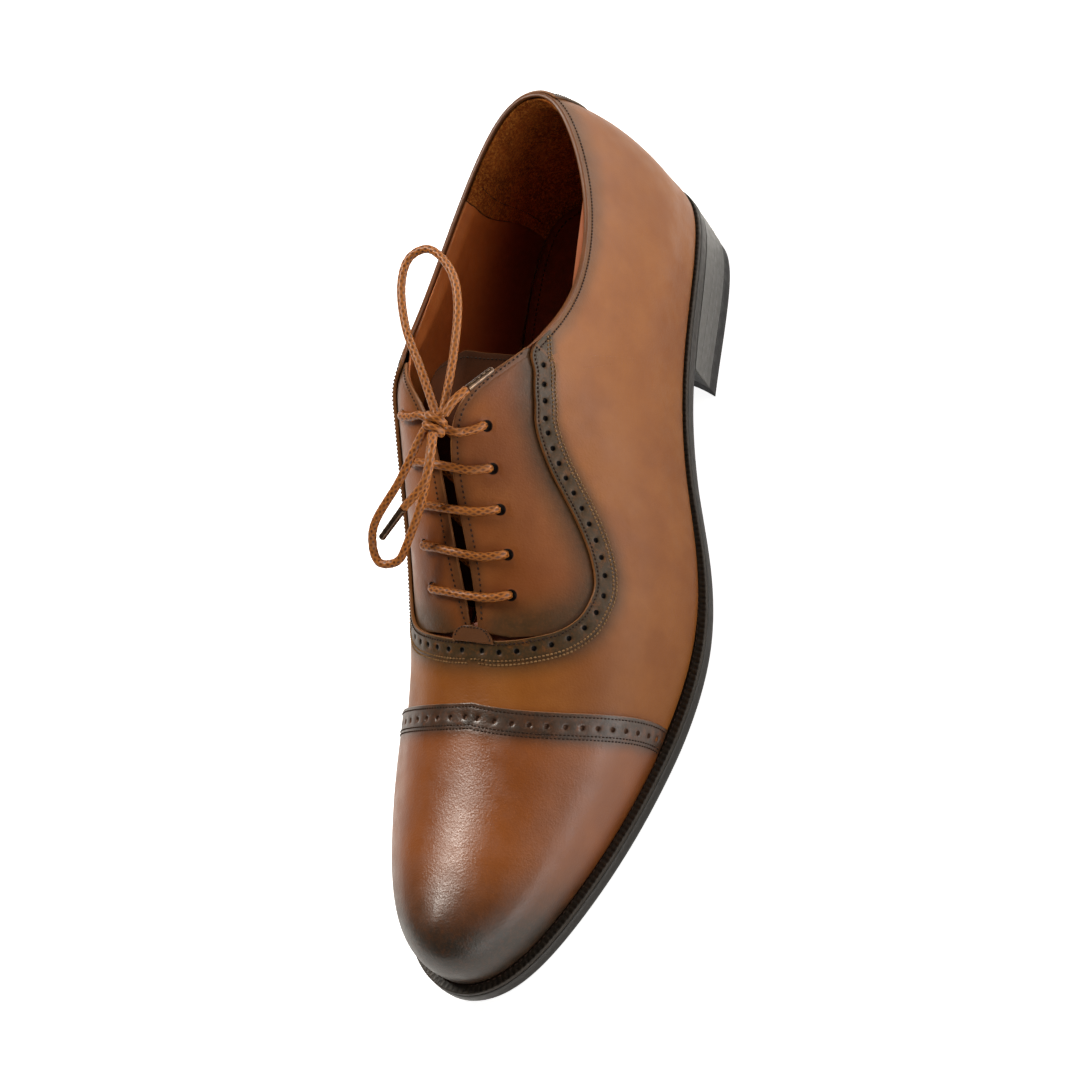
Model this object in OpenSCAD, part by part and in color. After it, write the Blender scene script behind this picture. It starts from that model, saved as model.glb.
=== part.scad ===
// Men's left leather oxford shoe: plain toe cap, punched bands, five-row closed lacing.
// Millimetres. The origin is the centre of the heel's ground face, +Z is up,
// the toe points along -Y and the outer (lateral) side of the foot is +X.

/* [Last] */
// Length of the last bottom, back of the heel to tip of the toe
last_length = 302; // [292:312]
// Width of the last bottom across the ball of the foot
ball_width = 95; // [90:100]
// Height of the instep above its normal height
instep_rise = 0; // [-2:2]

/* [Upper] */
// Thickness of the outer leather
leather = 1.3; // [1.1:0.1:1.3]
// Thickness of the lining leather
lining = 0.8; // [0.6:0.1:0.8]
// Thickness of the toe cap leather
cap_leather = 1.2; // [1:0.1:1.3]
// Thickness of the heel counter
counter_thickness = 1.2; // [1:0.1:1.2]
// Thickness of the toe puff
puff_thickness = 1.6; // [1:0.1:2]

/* [Bottom] */
// Thickness of the welt
welt_thickness = 2; // [1.8:0.1:2.2]
// How far the welt stands out round the forepart
welt_reach = 4.6; // [4:0.1:5]
// How far the welt stands out at the waist and heel
waist_reach = 2.2; // [2:0.1:2.6]
// Thickness of the outsole
outsole_thickness = 5; // [4.5:0.1:5.2]
// Thickness of the insole
insole_thickness = 2.4; // [2:0.1:2.5]
// Thickness of the sock liner
sock_thickness = 0.9; // [0.7:0.1:1]
// Thickness of the rubber top piece
top_piece = 6; // [5:0.5:6.5]
// Radius of the hollow in the heel breast
breast_radius = 58; // [50:70]

/* [Laces] */
// Diameter of the round waxed cord
cord = 2.8; // [2.4:0.1:2.8]
// Diameter of the punched lace holes
lace_hole = 4.4; // [4.3:0.1:4.6]
// Diameter of the aglets
aglet = 3.2; // [3:0.1:3.4]

/* [Part] */
// Sub-part shown on its own, or all

/* [Hidden] */

// clearance between pieces that lie on each other
gap = 0.1;
// distance from the origin to the back of the last, towards the heel
heel_back = 36;
// scale of the last's plan from its driving dimensions
long = last_length/302;
wide = ball_width/95;

// Lofting table of the last, toe (row 0) to back of heel (row 13), in millimetres.
// Bottom edge: distance from the heel back, outer half width, inner half width, height.
// Top edge: the same four. Swell of the wall from the bottom edge: out on the outer side,
// out on the inner side, up. Reach of the top surface from the top edge: out on the outer
// and on the inner side, rise on the outer and on the inner side.
stations = [
  [302,  -7,    -7,   18.7, 286, -9,    -9,    43,   3.5,  3.5, 17, 12,  12,   0,   0],
  [295,   8,   -22,   18.2, 281, -8,    -8,    43.5, 3.5,  3.5, 17, 15,  15,   0,   0],
  [275,  20,   -34,   15.2, 272, -6.5,  -6.5,  45,   3.5,  3.5, 18, 20,  20,   0,   0],
  [250,  30,   -42,   10.5, 253, -4.5,  -4.5,  47.5, 3.5,  3.5, 20, 24,  24,   0,   0],
  [225,  38,   -46,    7.8, 232, -2.5,  -2.5,  52,   4,    4,   22, 27,  27,   0,   0],
  [200,  45,   -46,    7.2, 210, -0.5,  -0.5,  60,   4,    4,   26, 27,  27,   0,   0],
  [175,  49,   -42,    8.8, 187,  1.5,  -4.5,  75,   5,    7.5, 30, 24,  28,  -1,   1],
  [149,  47,   -36,   13,   163, -1.5,  -7,    92,   7,   12,   34, 20,  31,  -9,  -3],
  [121,  40,   -32,   19.2, 137, -1.5,  -9.5, 110,   7,   13,   34, 17,  31, -14,  -6],
  [ 93,  35.5, -31,   24,   120, 20.5, -29,   104,   7,    8.5, 32, 10,  18, -20, -15],
  [ 63,  34,   -32,   28,    89, 29.5, -33,    89,   8,    5.5, 26, 3.5,  5, -22, -22],
  [ 19,  33.5, -32,   30,    46, 25,   -28.5,  88,   5.5,  5.5, 24, 11,   4, -22, -22],
  [  6,  25,   -20,   31.5,  12, 12,   -14.5,  97,   3,    5.5, 24, 19,   4, -22, -22],
  [  0,   1,     1,   31.5,   5, -0.5,  -0.5,  98,   5.5,  5.5, 24, 7,    7, -22, -22]];

// rows of the table, and points of the closed net: toe, outer side, heel, inner side
rows = len(stations);
net = 2*(rows - 1);
// last row whose two top edges meet on the ridge of the forepart
ridge_row = 5;
// middle of the tongue at the rows where the two top edges stand apart, with its height
tongue_mid = [[6, 0, 75], [7, -2.7, 91], [8, -3.8, 104.5], [9, -3, 110], [10, -2.5, 112]];

function row_of(i) = i < rows ? i : net - i;
function wrap(i) = (i + net) % net;
function unit(v) = v/norm(v);
function mix(a, b, t) = a*(1 - t) + b*t;

// entry of the table at net point i: one column for the outer side, one for the inner side
function entry(i, outer, inner) = stations[row_of(i)][i < rows ? outer : inner];
function bottom_point(i) = let(r = stations[row_of(i)])
  [entry(i, 1, 2)*wide, heel_back - r[0]*long, r[3]];
function top_point(i) = let(r = stations[row_of(i)])
  [entry(i, 5, 6)*wide, heel_back - r[4]*long, r[7] + instep_rise];
bottom_net = [for (i = [0:net - 1]) bottom_point(i)];
top_net = [for (i = [0:net - 1]) top_point(i)];

// outward direction of the plan at each net point
function outward(i) = let(d = bottom_net[wrap(i + 1)] - bottom_net[wrap(i - 1)])
  unit([d[1], -d[0], 0]);
out_net = [for (i = [0:net - 1]) outward(i)];

// slope of the ridge along Y, so that the two sides meet on it without a crease
function ridge_slope(k) = let(a = top_net[max(k - 1, 0)], b = top_net[k + 1])
  (b[2] - a[2])/(b[1] - a[1]);
function swell_point(i) = bottom_net[i] + out_net[i]*entry(i, 8, 9) + [0, 0, entry(i, 10, 10)];
function reach_point(i) = let(k = row_of(i), v = out_net[i]*entry(i, 11, 12))
  top_net[i] + v + [0, 0, k <= ridge_row ? v[1]*ridge_slope(k) : entry(i, 13, 14)];
swell_net = [for (i = [0:net - 1]) swell_point(i)];
reach_net = [for (i = [0:net - 1]) reach_point(i)];
shoe = [bottom_net, swell_net, reach_net, top_net];

// the same surface closed over the throat, for the tongue and the throat tab
function closed_top(i) = let(k = row_of(i), j = k - ridge_row - 1)
  k > ridge_row && j < len(tongue_mid)
    ? [tongue_mid[j][1]*wide, top_net[i][1], tongue_mid[j][2] + instep_rise] : top_net[i];
closed_net = [for (i = [0:net - 1]) closed_top(i)];
function closed_slope(k) = (closed_net[k + 1][2] - closed_net[k - 1][2])
  /(closed_net[k + 1][1] - closed_net[k - 1][1]);
// its reach and rise from the ridge, on the outer and inner side
closed_out = [22, 34];
closed_rise = [-2, 2];
function closed_reach(i) = let(k = row_of(i), side = i < rows ? 0 : 1, v = out_net[i]*closed_out[side])
  k > ridge_row && k < 10
    ? closed_net[i] + v + [0, 0, v[1]*closed_slope(k) + closed_rise[side]] : reach_net[i];
instep = [bottom_net, swell_net, [for (i = [0:net - 1]) closed_reach(i)], closed_net];

// uniform cubic B-spline round a closed net
function spline(p, u) = let(i = floor(u), f = u - i)
  (p[wrap(i - 1)]*pow(1 - f, 3) + p[wrap(i)]*(3*f*f*f - 6*f*f + 4)
    + p[wrap(i + 1)]*(-3*f*f*f + 3*f*f + 3*f + 1) + p[wrap(i + 2)]*f*f*f)/6;
// wall of the last: u runs round the net, h from the bottom edge (0) to the top edge (1)
function wall(s, u, h) = spline(s[0], u)*pow(1 - h, 3) + spline(s[1], u)*3*h*pow(1 - h, 2)
  + spline(s[2], u)*3*h*h*(1 - h) + spline(s[3], u)*h*h*h;
step = 0.01;
function normal(s, u, h) = let(g = min(max(h, 0.02), 0.97),
    du = wall(s, u + step, g) - wall(s, u - step + net, g),
    dh = wall(s, u, g + step) - wall(s, u, g - step))
  unit(cross(du, dh));
// point at a height above the wall, measured along its normal
function skin(s, u, h, off) = wall(s, u, h) + normal(s, u, h)*off;
// the same in crosswise terms: row k, w from the outer edge (0) over the ridge to the inner edge (2)
function across(s, k, w, off) = w <= 1 ? skin(s, k, w, off) : skin(s, net - k, 2 - w, off);

// bottom edge moved outward in plan and up
function edge(u, out, up) = let(d = spline(bottom_net, u + step) - spline(bottom_net, u - step + net))
  spline(bottom_net, u) + unit([d[1], -d[0], 0])*out + [0, 0, up];
// how far the welt stands out at row k of the outer (1) or inner (-1) side
function reach(u) = let(k = u <= net/2 ? u : net - u)
  lookup(k, [[0, welt_reach], [4.6, welt_reach], [6, welt_reach - 0.6], [8, waist_reach + 0.3],
    [9, waist_reach], [13, waist_reach + 0.2]]);

// denser copy of a list of points or numbers, n steps between neighbours
function dense(p, n) = [for (i = [0:len(p) - 2], j = [0:n - 1]) mix(p[i], p[i + 1], j/n),
  p[len(p) - 1]];
// smooth curve through a list of points, n steps between neighbours
function through(a, b, c, d, t) = (b*2 + (c - a)*t + (a*2 - b*5 + c*4 - d)*t*t
  + (b*3 - a - c*3 + d)*t*t*t)/2;
function curve(p, n) = let(m = len(p) - 1) [for (i = [0:m - 1], j = [0:n - 1])
  through(p[max(i - 1, 0)], p[i], p[i + 1], p[min(i + 2, m)], j/n), p[m]];
function reversed(p) = [for (i = [len(p) - 1:-1:0]) p[i]];
// the same patch edge on the inner side
function mirrored(p) = reversed([for (q = p) [net - q[0], q[1]]]);

// Grids of points. Rows run round the net and columns from the outer to the upper edge.
function patch(s, a, b, n, off) = [for (i = [0:len(a) - 1])
  [for (j = [0:n]) let(q = mix(a[i], b[i], j/n)) skin(s, q[0], q[1], off)]];
function arches(s, ks, w0, w1, n, off) = [for (k = ks)
  [for (j = [0:n]) across(s, k, mix(w0, w1, j/n), off)]];

// Solid between two grids. ring joins the last row to the first, and fold sews the first
// row to itself about its middle, where the two sides meet at the toe.
module sheet(front, back, ring = false, fold = false) {
  r = len(front);
  c = len(front[0]);
  at = function(f, i, j) f*r*c + (i % r)*c + (fold && i == 0 && j > (c - 1)/2 ? c - 1 - j : j);
  last = ring ? r - 1 : r - 2;
  skins = [for (i = [0:last], j = [0:c - 2]) each [
    [at(0, i, j), at(0, i + 1, j + 1), at(0, i + 1, j)],
    [at(0, i, j), at(0, i, j + 1), at(0, i + 1, j + 1)],
    [at(1, i, j), at(1, i + 1, j), at(1, i + 1, j + 1)],
    [at(1, i, j), at(1, i + 1, j + 1), at(1, i, j + 1)]]];
  sides = [for (i = [0:last]) each [
    [at(0, i, 0), at(0, i + 1, 0), at(1, i + 1, 0)],
    [at(0, i, 0), at(1, i + 1, 0), at(1, i, 0)],
    [at(0, i, c - 1), at(1, i + 1, c - 1), at(0, i + 1, c - 1)],
    [at(0, i, c - 1), at(1, i, c - 1), at(1, i + 1, c - 1)]]];
  start = [for (j = [0:c - 2]) each [
    [at(0, 0, j), at(1, 0, j + 1), at(0, 0, j + 1)],
    [at(0, 0, j), at(1, 0, j), at(1, 0, j + 1)]]];
  finish = [for (j = [0:c - 2]) each [
    [at(0, r - 1, j), at(0, r - 1, j + 1), at(1, r - 1, j + 1)],
    [at(0, r - 1, j), at(1, r - 1, j + 1), at(1, r - 1, j)]]];
  polyhedron([for (g = [front, back], row = g) each row],
    [for (f = [skins, sides, ring || fold ? [] : start, ring ? [] : finish]) each f]);
}

// Solid through a list of sections of equal length. ring joins the last to the first.
module loft(sections, ring = false) {
  r = len(sections);
  c = len(sections[0]);
  last = ring ? r - 1 : r - 2;
  skins = [for (i = [0:last], j = [0:c - 1]) let(a = i*c + j, b = i*c + (j + 1) % c,
      d = ((i + 1) % r)*c + j, e = ((i + 1) % r)*c + (j + 1) % c)
    each [[a, e, d], [a, b, e]]];
  caps = ring ? [] : [for (j = [1:c - 2]) each [[0, j + 1, j],
    [(r - 1)*c, (r - 1)*c + j, (r - 1)*c + j + 1]]];
  polyhedron([for (s = sections) each s], concat(skins, caps));
}

// Plate under the foot between rows k0 and k1: outline moved out by top_out and low_out,
// from up0 to up1 above the bottom edge
function plate_section(k, low_out, top_out, up0, up1) = [edge(k, low_out, up0), edge(k, top_out, up1),
  edge(net - k, top_out, up1), edge(net - k, low_out, up0)];
function spaced(k0, k1, n) = [for (i = [0:n]) mix(k0, k1, (1 - cos(180*i/n))/2)];

// Frames carried along a path, then a round tube along it
function tangents(p) = [for (i = [0:len(p) - 1])
  unit(p[min(i + 1, len(p) - 1)] - p[max(i - 1, 0)])];
function carry(t, i, n) = let(v = unit(n - t[i]*(n*t[i])))
  i == len(t) - 1 ? [v] : concat([v], carry(t, i + 1, v));
module tube(p, d, sides = 10) {
  t = tangents(p);
  n = carry(t, 0, unit(cross(t[0], [0.3, 0.2, 1])));
  loft([for (i = [0:len(p) - 1]) [for (j = [0:sides - 1])
    p[i] + (n[i]*cos(360*j/sides) + cross(t[i], n[i])*sin(360*j/sides))*d/2]]);
}

// Row of the ball line, where the sole bends, and the slit between the two halves there
flex_row = 5.08;
flex_slit = 0.012;
// Rows of the toe and heel ends of the plates
toe_row = 0.05;
heel_row = 12.96;
// Row of the heel breast before it is hollowed
breast_row = 9.72;

// Levels of the bottom layers, measured from the bottom edge of the last
welt_top = -gap;
welt_low = -welt_thickness;
sole_top = welt_low - gap;
sole_low = sole_top - outsole_thickness;
insole_low = 0.2;
insole_top = insole_low + insole_thickness;
sock_low = insole_top + gap;
sock_top = sock_low + sock_thickness;

// Levels of the upper's layers, measured from the outside of the upper
cap_low = gap + 0.07;
facing_top = -leather - 0.3;
facing_low = facing_top - 1.1;
counter_top = -leather - 0.6;
lining_top = -3.4;
lining_low = lining_top - lining;
tongue_top = -9.4;
tongue_low = tongue_top - 1.1;
// Lowest edge of the wall pieces, just above the welt
foot_edge = 0.02;

// Levels of the heel
lift_1_top = top_piece + 5;
lift_2_top = lift_1_top + 5;
// Slope of the heel's sides: inset at the ground
heel_inset = 1.4;
// Mean height of the sole at the heel, for the taper
heel_height = 23;
function heel_out(z) = 0.3 - heel_inset*(1 - z/heel_height);
function heel_section(k, z0, z1) = [flat(k, z0), flat(k, z1), flat(net - k, z1), flat(net - k, z0)];
function flat(u, z) = let(p = edge(u, reach(u) + heel_out(z), 0)) [p[0], p[1], z];
function seat_section(k, z0) = let(z1 = edge(k, 0, sole_low - gap)[2])
  heel_section(k, z0, z1);
// Places of the heel nails
nail_places = [[-17, -12], [17, -12], [-19, 6], [20, 6], [-11, 22], [12, 22]];
nail = 2;

// Paths on the upper: [u, h]
// line of the punched band's inner edge from the ridge to the topline
band_inner = [[5.38, 1], [5.38, 0.9], [5.44, 0.78], [5.55, 0.66], [5.71, 0.582], [5.9, 0.54],
  [6.15, 0.513], [6.5, 0.525], [6.9, 0.565], [7.39, 0.627], [7.9, 0.68], [8.31, 0.727],
  [8.8, 0.84], [9.2, 0.99], [9.8, 1], [10.6, 1], [11.4, 1], [12.1, 1], [12.6, 1], [13, 1]];
// outer edge of the same piece: under the toe cap, then along the welt
body_outer = [[3.7, 1], [3.7, 0.75], [3.7, 0.5], [3.7, 0.25], [3.75, 0.04], [4.5, foot_edge],
  [5.3, foot_edge], [6.1, foot_edge], [6.8, foot_edge], [7.5, foot_edge], [8.1, foot_edge],
  [8.6, foot_edge], [9, foot_edge], [9.4, foot_edge], [10, foot_edge], [10.8, foot_edge],
  [11.5, foot_edge], [12.1, foot_edge], [12.6, foot_edge], [13, foot_edge]];
// facing: edge hidden under the band, then the throat edge
facing_outer = [[5.44, 0.86], [5.52, 0.68], [5.7, 0.55], [6, 0.48], [6.37, 0.468], [6.9, 0.52],
  [7.4, 0.585], [7.9, 0.635], [8.3, 0.69], [8.8, 0.8], [9.15, 0.92]];
facing_throat = [[5.47, 1], [5.7, 1], [5.95, 1], [6.2, 1], [6.6, 1], [7, 1], [7.5, 1], [7.9, 1],
  [8.35, 1], [8.8, 1], [9.15, 1]];
// edge of the toe cap at crosswise place w
function cap_row(w) = 4.56 + (w < 1 ? 0.12 : 0.36)*pow(w - 1, 2);

// Lace holes of the outer and inner facing, top row first: [row, h]
holes_outer = [[7.83, 0.855], [7.33, 0.83], [6.88, 0.825], [6.38, 0.825], [5.92, 0.835]];
holes_inner = [[8.08, 0.835], [7.43, 0.83], [6.95, 0.84], [6.48, 0.815], [5.98, 0.815]];
holes_inner_u = [for (q = holes_inner) [net - q[0], q[1]]];

// Centre of the bow's knot
knot = [-2, -111, 112];

module drill(q, r, low, high) {
  p = skin(shoe, q[0], q[1], low);
  n = normal(shoe, q[0], q[1]);
  translate(p) rotate([0, acos(n[2]), atan2(n[1], n[0])])
    cylinder(r = r, h = high - low, $fn = 24);
}

// ---- heel ----
module breast_cut() {
  translate([2, -27.5 - breast_radius, -1]) cylinder(r = breast_radius, h = 30, $fn = 96);
}
module nail_holes() {
  for (q = nail_places) translate([q[0], q[1], -1]) cylinder(d = nail + 0.2, h = 16, $fn = 16);
}
module heel_slab(z0, z1) {
  difference() {
    loft([for (k = spaced(breast_row, heel_row, 22)) heel_section(k, z0, z1)]);
    breast_cut();
    nail_holes();
  }
}
module heel_top_piece() {
  color("#1c1b1b") heel_slab(0, top_piece);
}
module heel_lift_1() {
  color("#3a3634") heel_slab(top_piece + gap, lift_1_top);
}
module heel_lift_2() {
  color("#3a3634") heel_slab(lift_1_top + gap, lift_2_top);
}
module heel_seat_lift() {
  color("#3a3634") difference() {
    loft([for (k = spaced(breast_row, heel_row, 22)) seat_section(k, lift_2_top + gap)]);
    breast_cut();
  }
}
module heel_nails() {
  color("#b08d57") for (q = nail_places) translate([q[0], q[1], 0.3])
    cylinder(d = nail, h = 14, $fn = 16);
}

// ---- sole ----
module sole_half(k0, k1, n) {
  loft([for (k = spaced(k0, k1, n)) let(o = reach(k), i = reach(net - k))
    [edge(k, o - 0.5, sole_low), edge(k, o + 0.1, sole_low + 1.2), edge(k, o, sole_top),
      edge(net - k, i, sole_top), edge(net - k, i + 0.1, sole_low + 1.2),
      edge(net - k, i - 0.5, sole_low)]]);
}
module outsole_forepart() {
  color("#3b3937") sole_half(toe_row, flex_row - flex_slit, 26);
}
module outsole_rear() {
  color("#3b3937") sole_half(flex_row + flex_slit, heel_row, 36);
}
module welt() {
  color("#2a1f18") loft([for (i = [0:103]) let(u = net*i/104)
    [edge(u, -7, welt_low), edge(u, reach(u), welt_low), edge(u, reach(u), welt_top),
      edge(u, -7, welt_top)]], ring = true);
}
module cork_filler() {
  color("#a5794a") loft([for (k = spaced(0.4, flex_row - 0.1, 18))
    plate_section(k, -7.8, -7.8, welt_low, -0.6)]);
}
module shank() {
  color("#8d9093") loft([for (k = [7:0.5:11.5]) let(a = edge(k, 0, 0), b = edge(net - k, 0, 0),
      c = (a + b)/2) [c + [6, 0, -1.7], c + [6, 0, -0.5], c + [-6, 0, -0.5], c + [-6, 0, -1.7]]]);
}
module insole_half(k0, k1, n) {
  loft([for (k = spaced(k0, k1, n)) plate_section(k, -4.9, -4.9, insole_low, insole_top)]);
}
module insole_forepart() {
  color("#c79a64") insole_half(0.1, flex_row - flex_slit, 20);
}
module insole_rear() {
  color("#c79a64") insole_half(flex_row + flex_slit, 12.93, 24);
}
module sock_liner() {
  color("#5e2c17") loft([for (k = spaced(0.1, 12.93, 44))
    plate_section(k, -5.1, -5.1, sock_low, sock_top)]);
}

// ---- upper ----
module toe_cap() {
  n = 24;
  rows_up = [for (t = spaced(0, 1, 15)) t];
  grid = function(off) [for (t = rows_up) [for (j = [0:n]) let(w = mix(foot_edge, 2 - foot_edge, j/n))
    across(shoe, t*cap_row(w), w, off)]];
  color("#8a4f2a") sheet(grid(cap_low + cap_leather), grid(cap_low), fold = true);
}
module toe_puff() {
  ks = spaced(0, 3.5, 12);
  color("#d8c9a8") sheet(arches(shoe, ks, 0.03, 1.97, 18, -gap),
    arches(shoe, ks, 0.03, 1.97, 18, -gap - puff_thickness), fold = true);
}
module upper_body() {
  a = dense(body_outer, 2);
  b = dense(band_inner, 2);
  m = len(a) - 1;
  a_ring = concat([for (i = [m - 1:-1:1]) [net - a[i][0], a[i][1]]], a);
  b_ring = concat([for (i = [m - 1:-1:1]) [net - b[i][0], b[i][1]]], b);
  color("#96582f") sheet(patch(shoe, a_ring, b_ring, 7, 0), patch(shoe, a_ring, b_ring, 7, -leather),
    ring = true);
}
module facing(a, b, holes) {
  difference() {
    sheet(patch(shoe, a, b, 7, facing_top), patch(shoe, a, b, 7, facing_low));
    for (q = holes) drill(q, lace_hole/2, facing_low - 1, facing_top + 1);
  }
}
module facing_lateral() {
  color("#8b4a24") facing(dense(facing_outer, 2), dense(facing_throat, 2), holes_outer);
}
module facing_medial() {
  color("#8b4a24") facing(dense(mirrored(facing_outer), 2), dense(mirrored(facing_throat), 2),
    holes_inner_u);
}
module throat_tab() {
  ks = [5.4, 5.46, 5.52, 5.57, 5.61];
  half = [0.12, 0.115, 0.1, 0.075, 0.04];
  grid = function(off) [for (i = [0:4]) [for (j = [0:10])
    across(instep, ks[i], 1 + half[i]*(j/5 - 1), off)]];
  color("#7a3f20") sheet(grid(0.9), grid(0));
}
module back_strip() {
  grid = function(off) [for (i = [0:8]) [for (j = [0:6])
    skin(shoe, 13 + (i/4 - 1)*mix(0.22, 0.42, j/6), mix(0.46, 0.985, j/6), off)]];
  color("#3c2a20") sheet(grid(1.1), grid(gap));
}
module topline_binding() {
  us = [for (i = [0:60]) mix(9.32, net - 9.32, i/60)];
  color("#5a3420") loft([for (u = us) let(p = wall(shoe, u, 1), n = normal(shoe, u, 1),
      z = [0, 0, 1])
    [p - n*4.3 + z*1, p - n*3.9 + z*0.55, p - n*0.2 + z*0.55, p + n*0.1 + z*1,
      p - n*0.7 + z*1.8, p - n*3.4 + z*1.8]]);
}
module heel_counter() {
  us = [for (i = [0:32]) mix(10.3, net - 10.3, i/32)];
  grid = function(off) [for (i = [0:32]) let(t = abs(i/16 - 1), high = mix(0.66, 0.36, t*t))
    [for (j = [0:6]) skin(shoe, us[i], mix(0.03, high, j/6), off)]];
  color("#c9b48c") sheet(grid(counter_top), grid(counter_top - counter_thickness));
}
module quarter_lining(a, b, holes) {
  difference() {
    sheet(patch(shoe, a, b, 8, lining_top), patch(shoe, a, b, 8, lining_low));
    for (q = holes) drill(q, lace_hole/2, lining_low - 1, lining_top + 1);
  }
}
lining_foot = [for (k = [5.62:0.5:11.12]) [k, 0.035]];
lining_edge = [for (q = lining_foot) [q[0], 0.985]];
module quarter_lining_lateral() {
  color("#c0662c") quarter_lining(dense(lining_foot, 2), dense(lining_edge, 2), holes_outer);
}
module quarter_lining_medial() {
  color("#c0662c") quarter_lining(dense(mirrored(lining_foot), 2), dense(mirrored(lining_edge), 2),
    holes_inner_u);
}
module heel_grip() {
  us = [for (i = [0:20]) mix(11.17, net - 11.17, i/20)];
  grid = function(off) [for (u = us) [for (j = [0:7]) skin(shoe, u, mix(0.035, 0.985, j/7), off)]];
  color("#a85a2a") sheet(grid(lining_top), grid(lining_low));
}
module vamp_lining() {
  ks = spaced(0, 5.56, 16);
  color("#c0662c") sheet(arches(shoe, ks, 0.04, 1.96, 18, lining_top),
    arches(shoe, ks, 0.04, 1.96, 18, lining_low), fold = true);
}
// half width of the tongue, crosswise, from its base to its rounded top edge
function tongue_half(t) = mix(0.16, 0.4, pow(t, 0.8)) - 0.09*pow(max(0, t - 0.8)/0.2, 2);
// the tongue lies below the instep: its grid sinks along the ridge's normal, row by row
function tongue_grid(off, trim) = [for (i = [0:14]) let(t = i/14, k = mix(5.72, 9.2 - trim, t),
    sink = normal(instep, k, 1)*(off + 3))
  [for (j = [0:12]) across(instep, k, 1 + (tongue_half(t) - trim)*(j/6 - 1), -3) + sink]];
module tongue() {
  color("#4a2415") sheet(tongue_grid(tongue_top, 0), tongue_grid(tongue_low, 0));
}
module tongue_lining() {
  color("#b5602b") sheet(tongue_grid(tongue_low - 0.55, 0.01), tongue_grid(tongue_low - 1.35, 0.01));
}

// ---- laces ----
module ring_at(q) {
  p = skin(shoe, q[0], q[1], -3.31);
  n = normal(shoe, q[0], q[1]);
  translate(p) rotate([0, acos(n[2]), atan2(n[1], n[0])]) difference() {
    cylinder(d = lace_hole + 1.8, h = 0.2, $fn = 24);
    translate([0, 0, -1]) cylinder(d = lace_hole, h = 3, $fn = 24);
  }
}
module eyelet_rings() {
  color("#b08d57") {
    for (q = holes_outer) ring_at(q);
    for (q = holes_inner_u) ring_at(q);
  }
}
// one end of a lace bar, from under the facing out through its hole and towards the throat
cord_over = cord/2 + facing_top + 0.3;
cord_under = lining_low - cord/2 - 0.85;
bar_steps = [[0.045, cord_under], [0.012, cord_under + 1.1], [0, lining_top - 0.2],
  [0, facing_top - 0.4], [0.006, cord_over - 0.75], [0.045, cord_over]];
function bar_end(q) = [for (b = bar_steps) skin(shoe, q[0], q[1] + b[0], b[1])];
function throat_over(u) = wall(shoe, u, 1) + [0, 0, cord_over + 0.3];
// the bars sag a little towards the toe between their holes
bar_sag = 0.05;
function bar_mid(i) = let(a = throat_over(holes_outer[i][0] - bar_sag),
    b = throat_over(net - holes_inner[i][0] + bar_sag))
  i == 0 ? [a, knot - [0, 0, 5.5], b] : [a, b];
function bar(i) = concat(bar_end(holes_outer[i]), bar_mid(i), reversed(bar_end(holes_inner_u[i])));
function crossing(i) = [across(instep, (holes_inner[i][0] + holes_outer[i + 1][0])/2, 1, cord_under - 0.7)];
lace_path = [for (i = [0:4]) each concat(bar(i), i < 4 ? crossing(i) : [])];
module lace_bars() {
  color("#a3602c") tube(curve(lace_path, 3), cord, 8);
}
module lace_knot() {
  color("#a3602c") translate(knot) {
    rotate([78, 0, 20]) rotate_extrude($fn = 28) translate([2.5, 0]) circle(d = cord, $fn = 14);
    rotate([90, 0, 10]) cylinder(d = 3, h = 5, center = true, $fn = 16);
  }
}
loop_up_path = [[-2.6, -106.4, 113], [-8, -93, 118], [-14, -80, 122], [-17, -66, 125.5],
  [-15.5, -56, 127], [-8, -53.5, 127.2], [1, -62, 126], [5, -74, 124], [4.5, -90, 119.5],
  [1.6, -107, 114.3]];
module bow_loop_up() {
  color("#a3602c") tube(curve(loop_up_path, 4), cord, 8);
}
loop_down_path = [[-6.4, -113.6, 111], [-16, -126, 104], [-28, -135, 95], [-32, -140, 88],
  [-30.5, -144.5, 84], [-24, -144.5, 84], [-19, -141, 88], [-10, -130, 98], [-4.4, -119, 107.6],
  [-3.4, -115.6, 110.2]];
module bow_loop_down() {
  color("#a3602c") tube(curve(loop_down_path, 4), cord, 8);
}
end_front_path = [[-0.6, -116, 113.6], [0.2, -122, 114], [-2, -131, 110.5], [-11, -138, 106]];
aglet_front_path = [[-11.3, -138.2, 105.8], [-22, -144, 98.5]];
end_back_path = [[2.9, -110, 115], [6, -105.6, 116], [9, -101, 114.6]];
aglet_back_path = [[9.2, -100.6, 114.5], [14.5, -91.5, 110.5]];
module lace_end_front() {
  color("#a3602c") tube(curve(end_front_path, 6), cord, 8);
}
module lace_end_back() {
  color("#a3602c") tube(curve(end_back_path, 6), cord, 8);
}
module aglet_rod(p) {
  d = p[1] - p[0];
  translate(p[0]) rotate([0, acos(d[2]/norm(d)), atan2(d[1], d[0])])
    cylinder(d = aglet, h = norm(d), $fn = 20);
}
module aglet_front() {
  color("#c9b79c") aglet_rod(aglet_front_path);
}
module aglet_back() {
  color("#c9b79c") aglet_rod(aglet_back_path);
}

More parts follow.
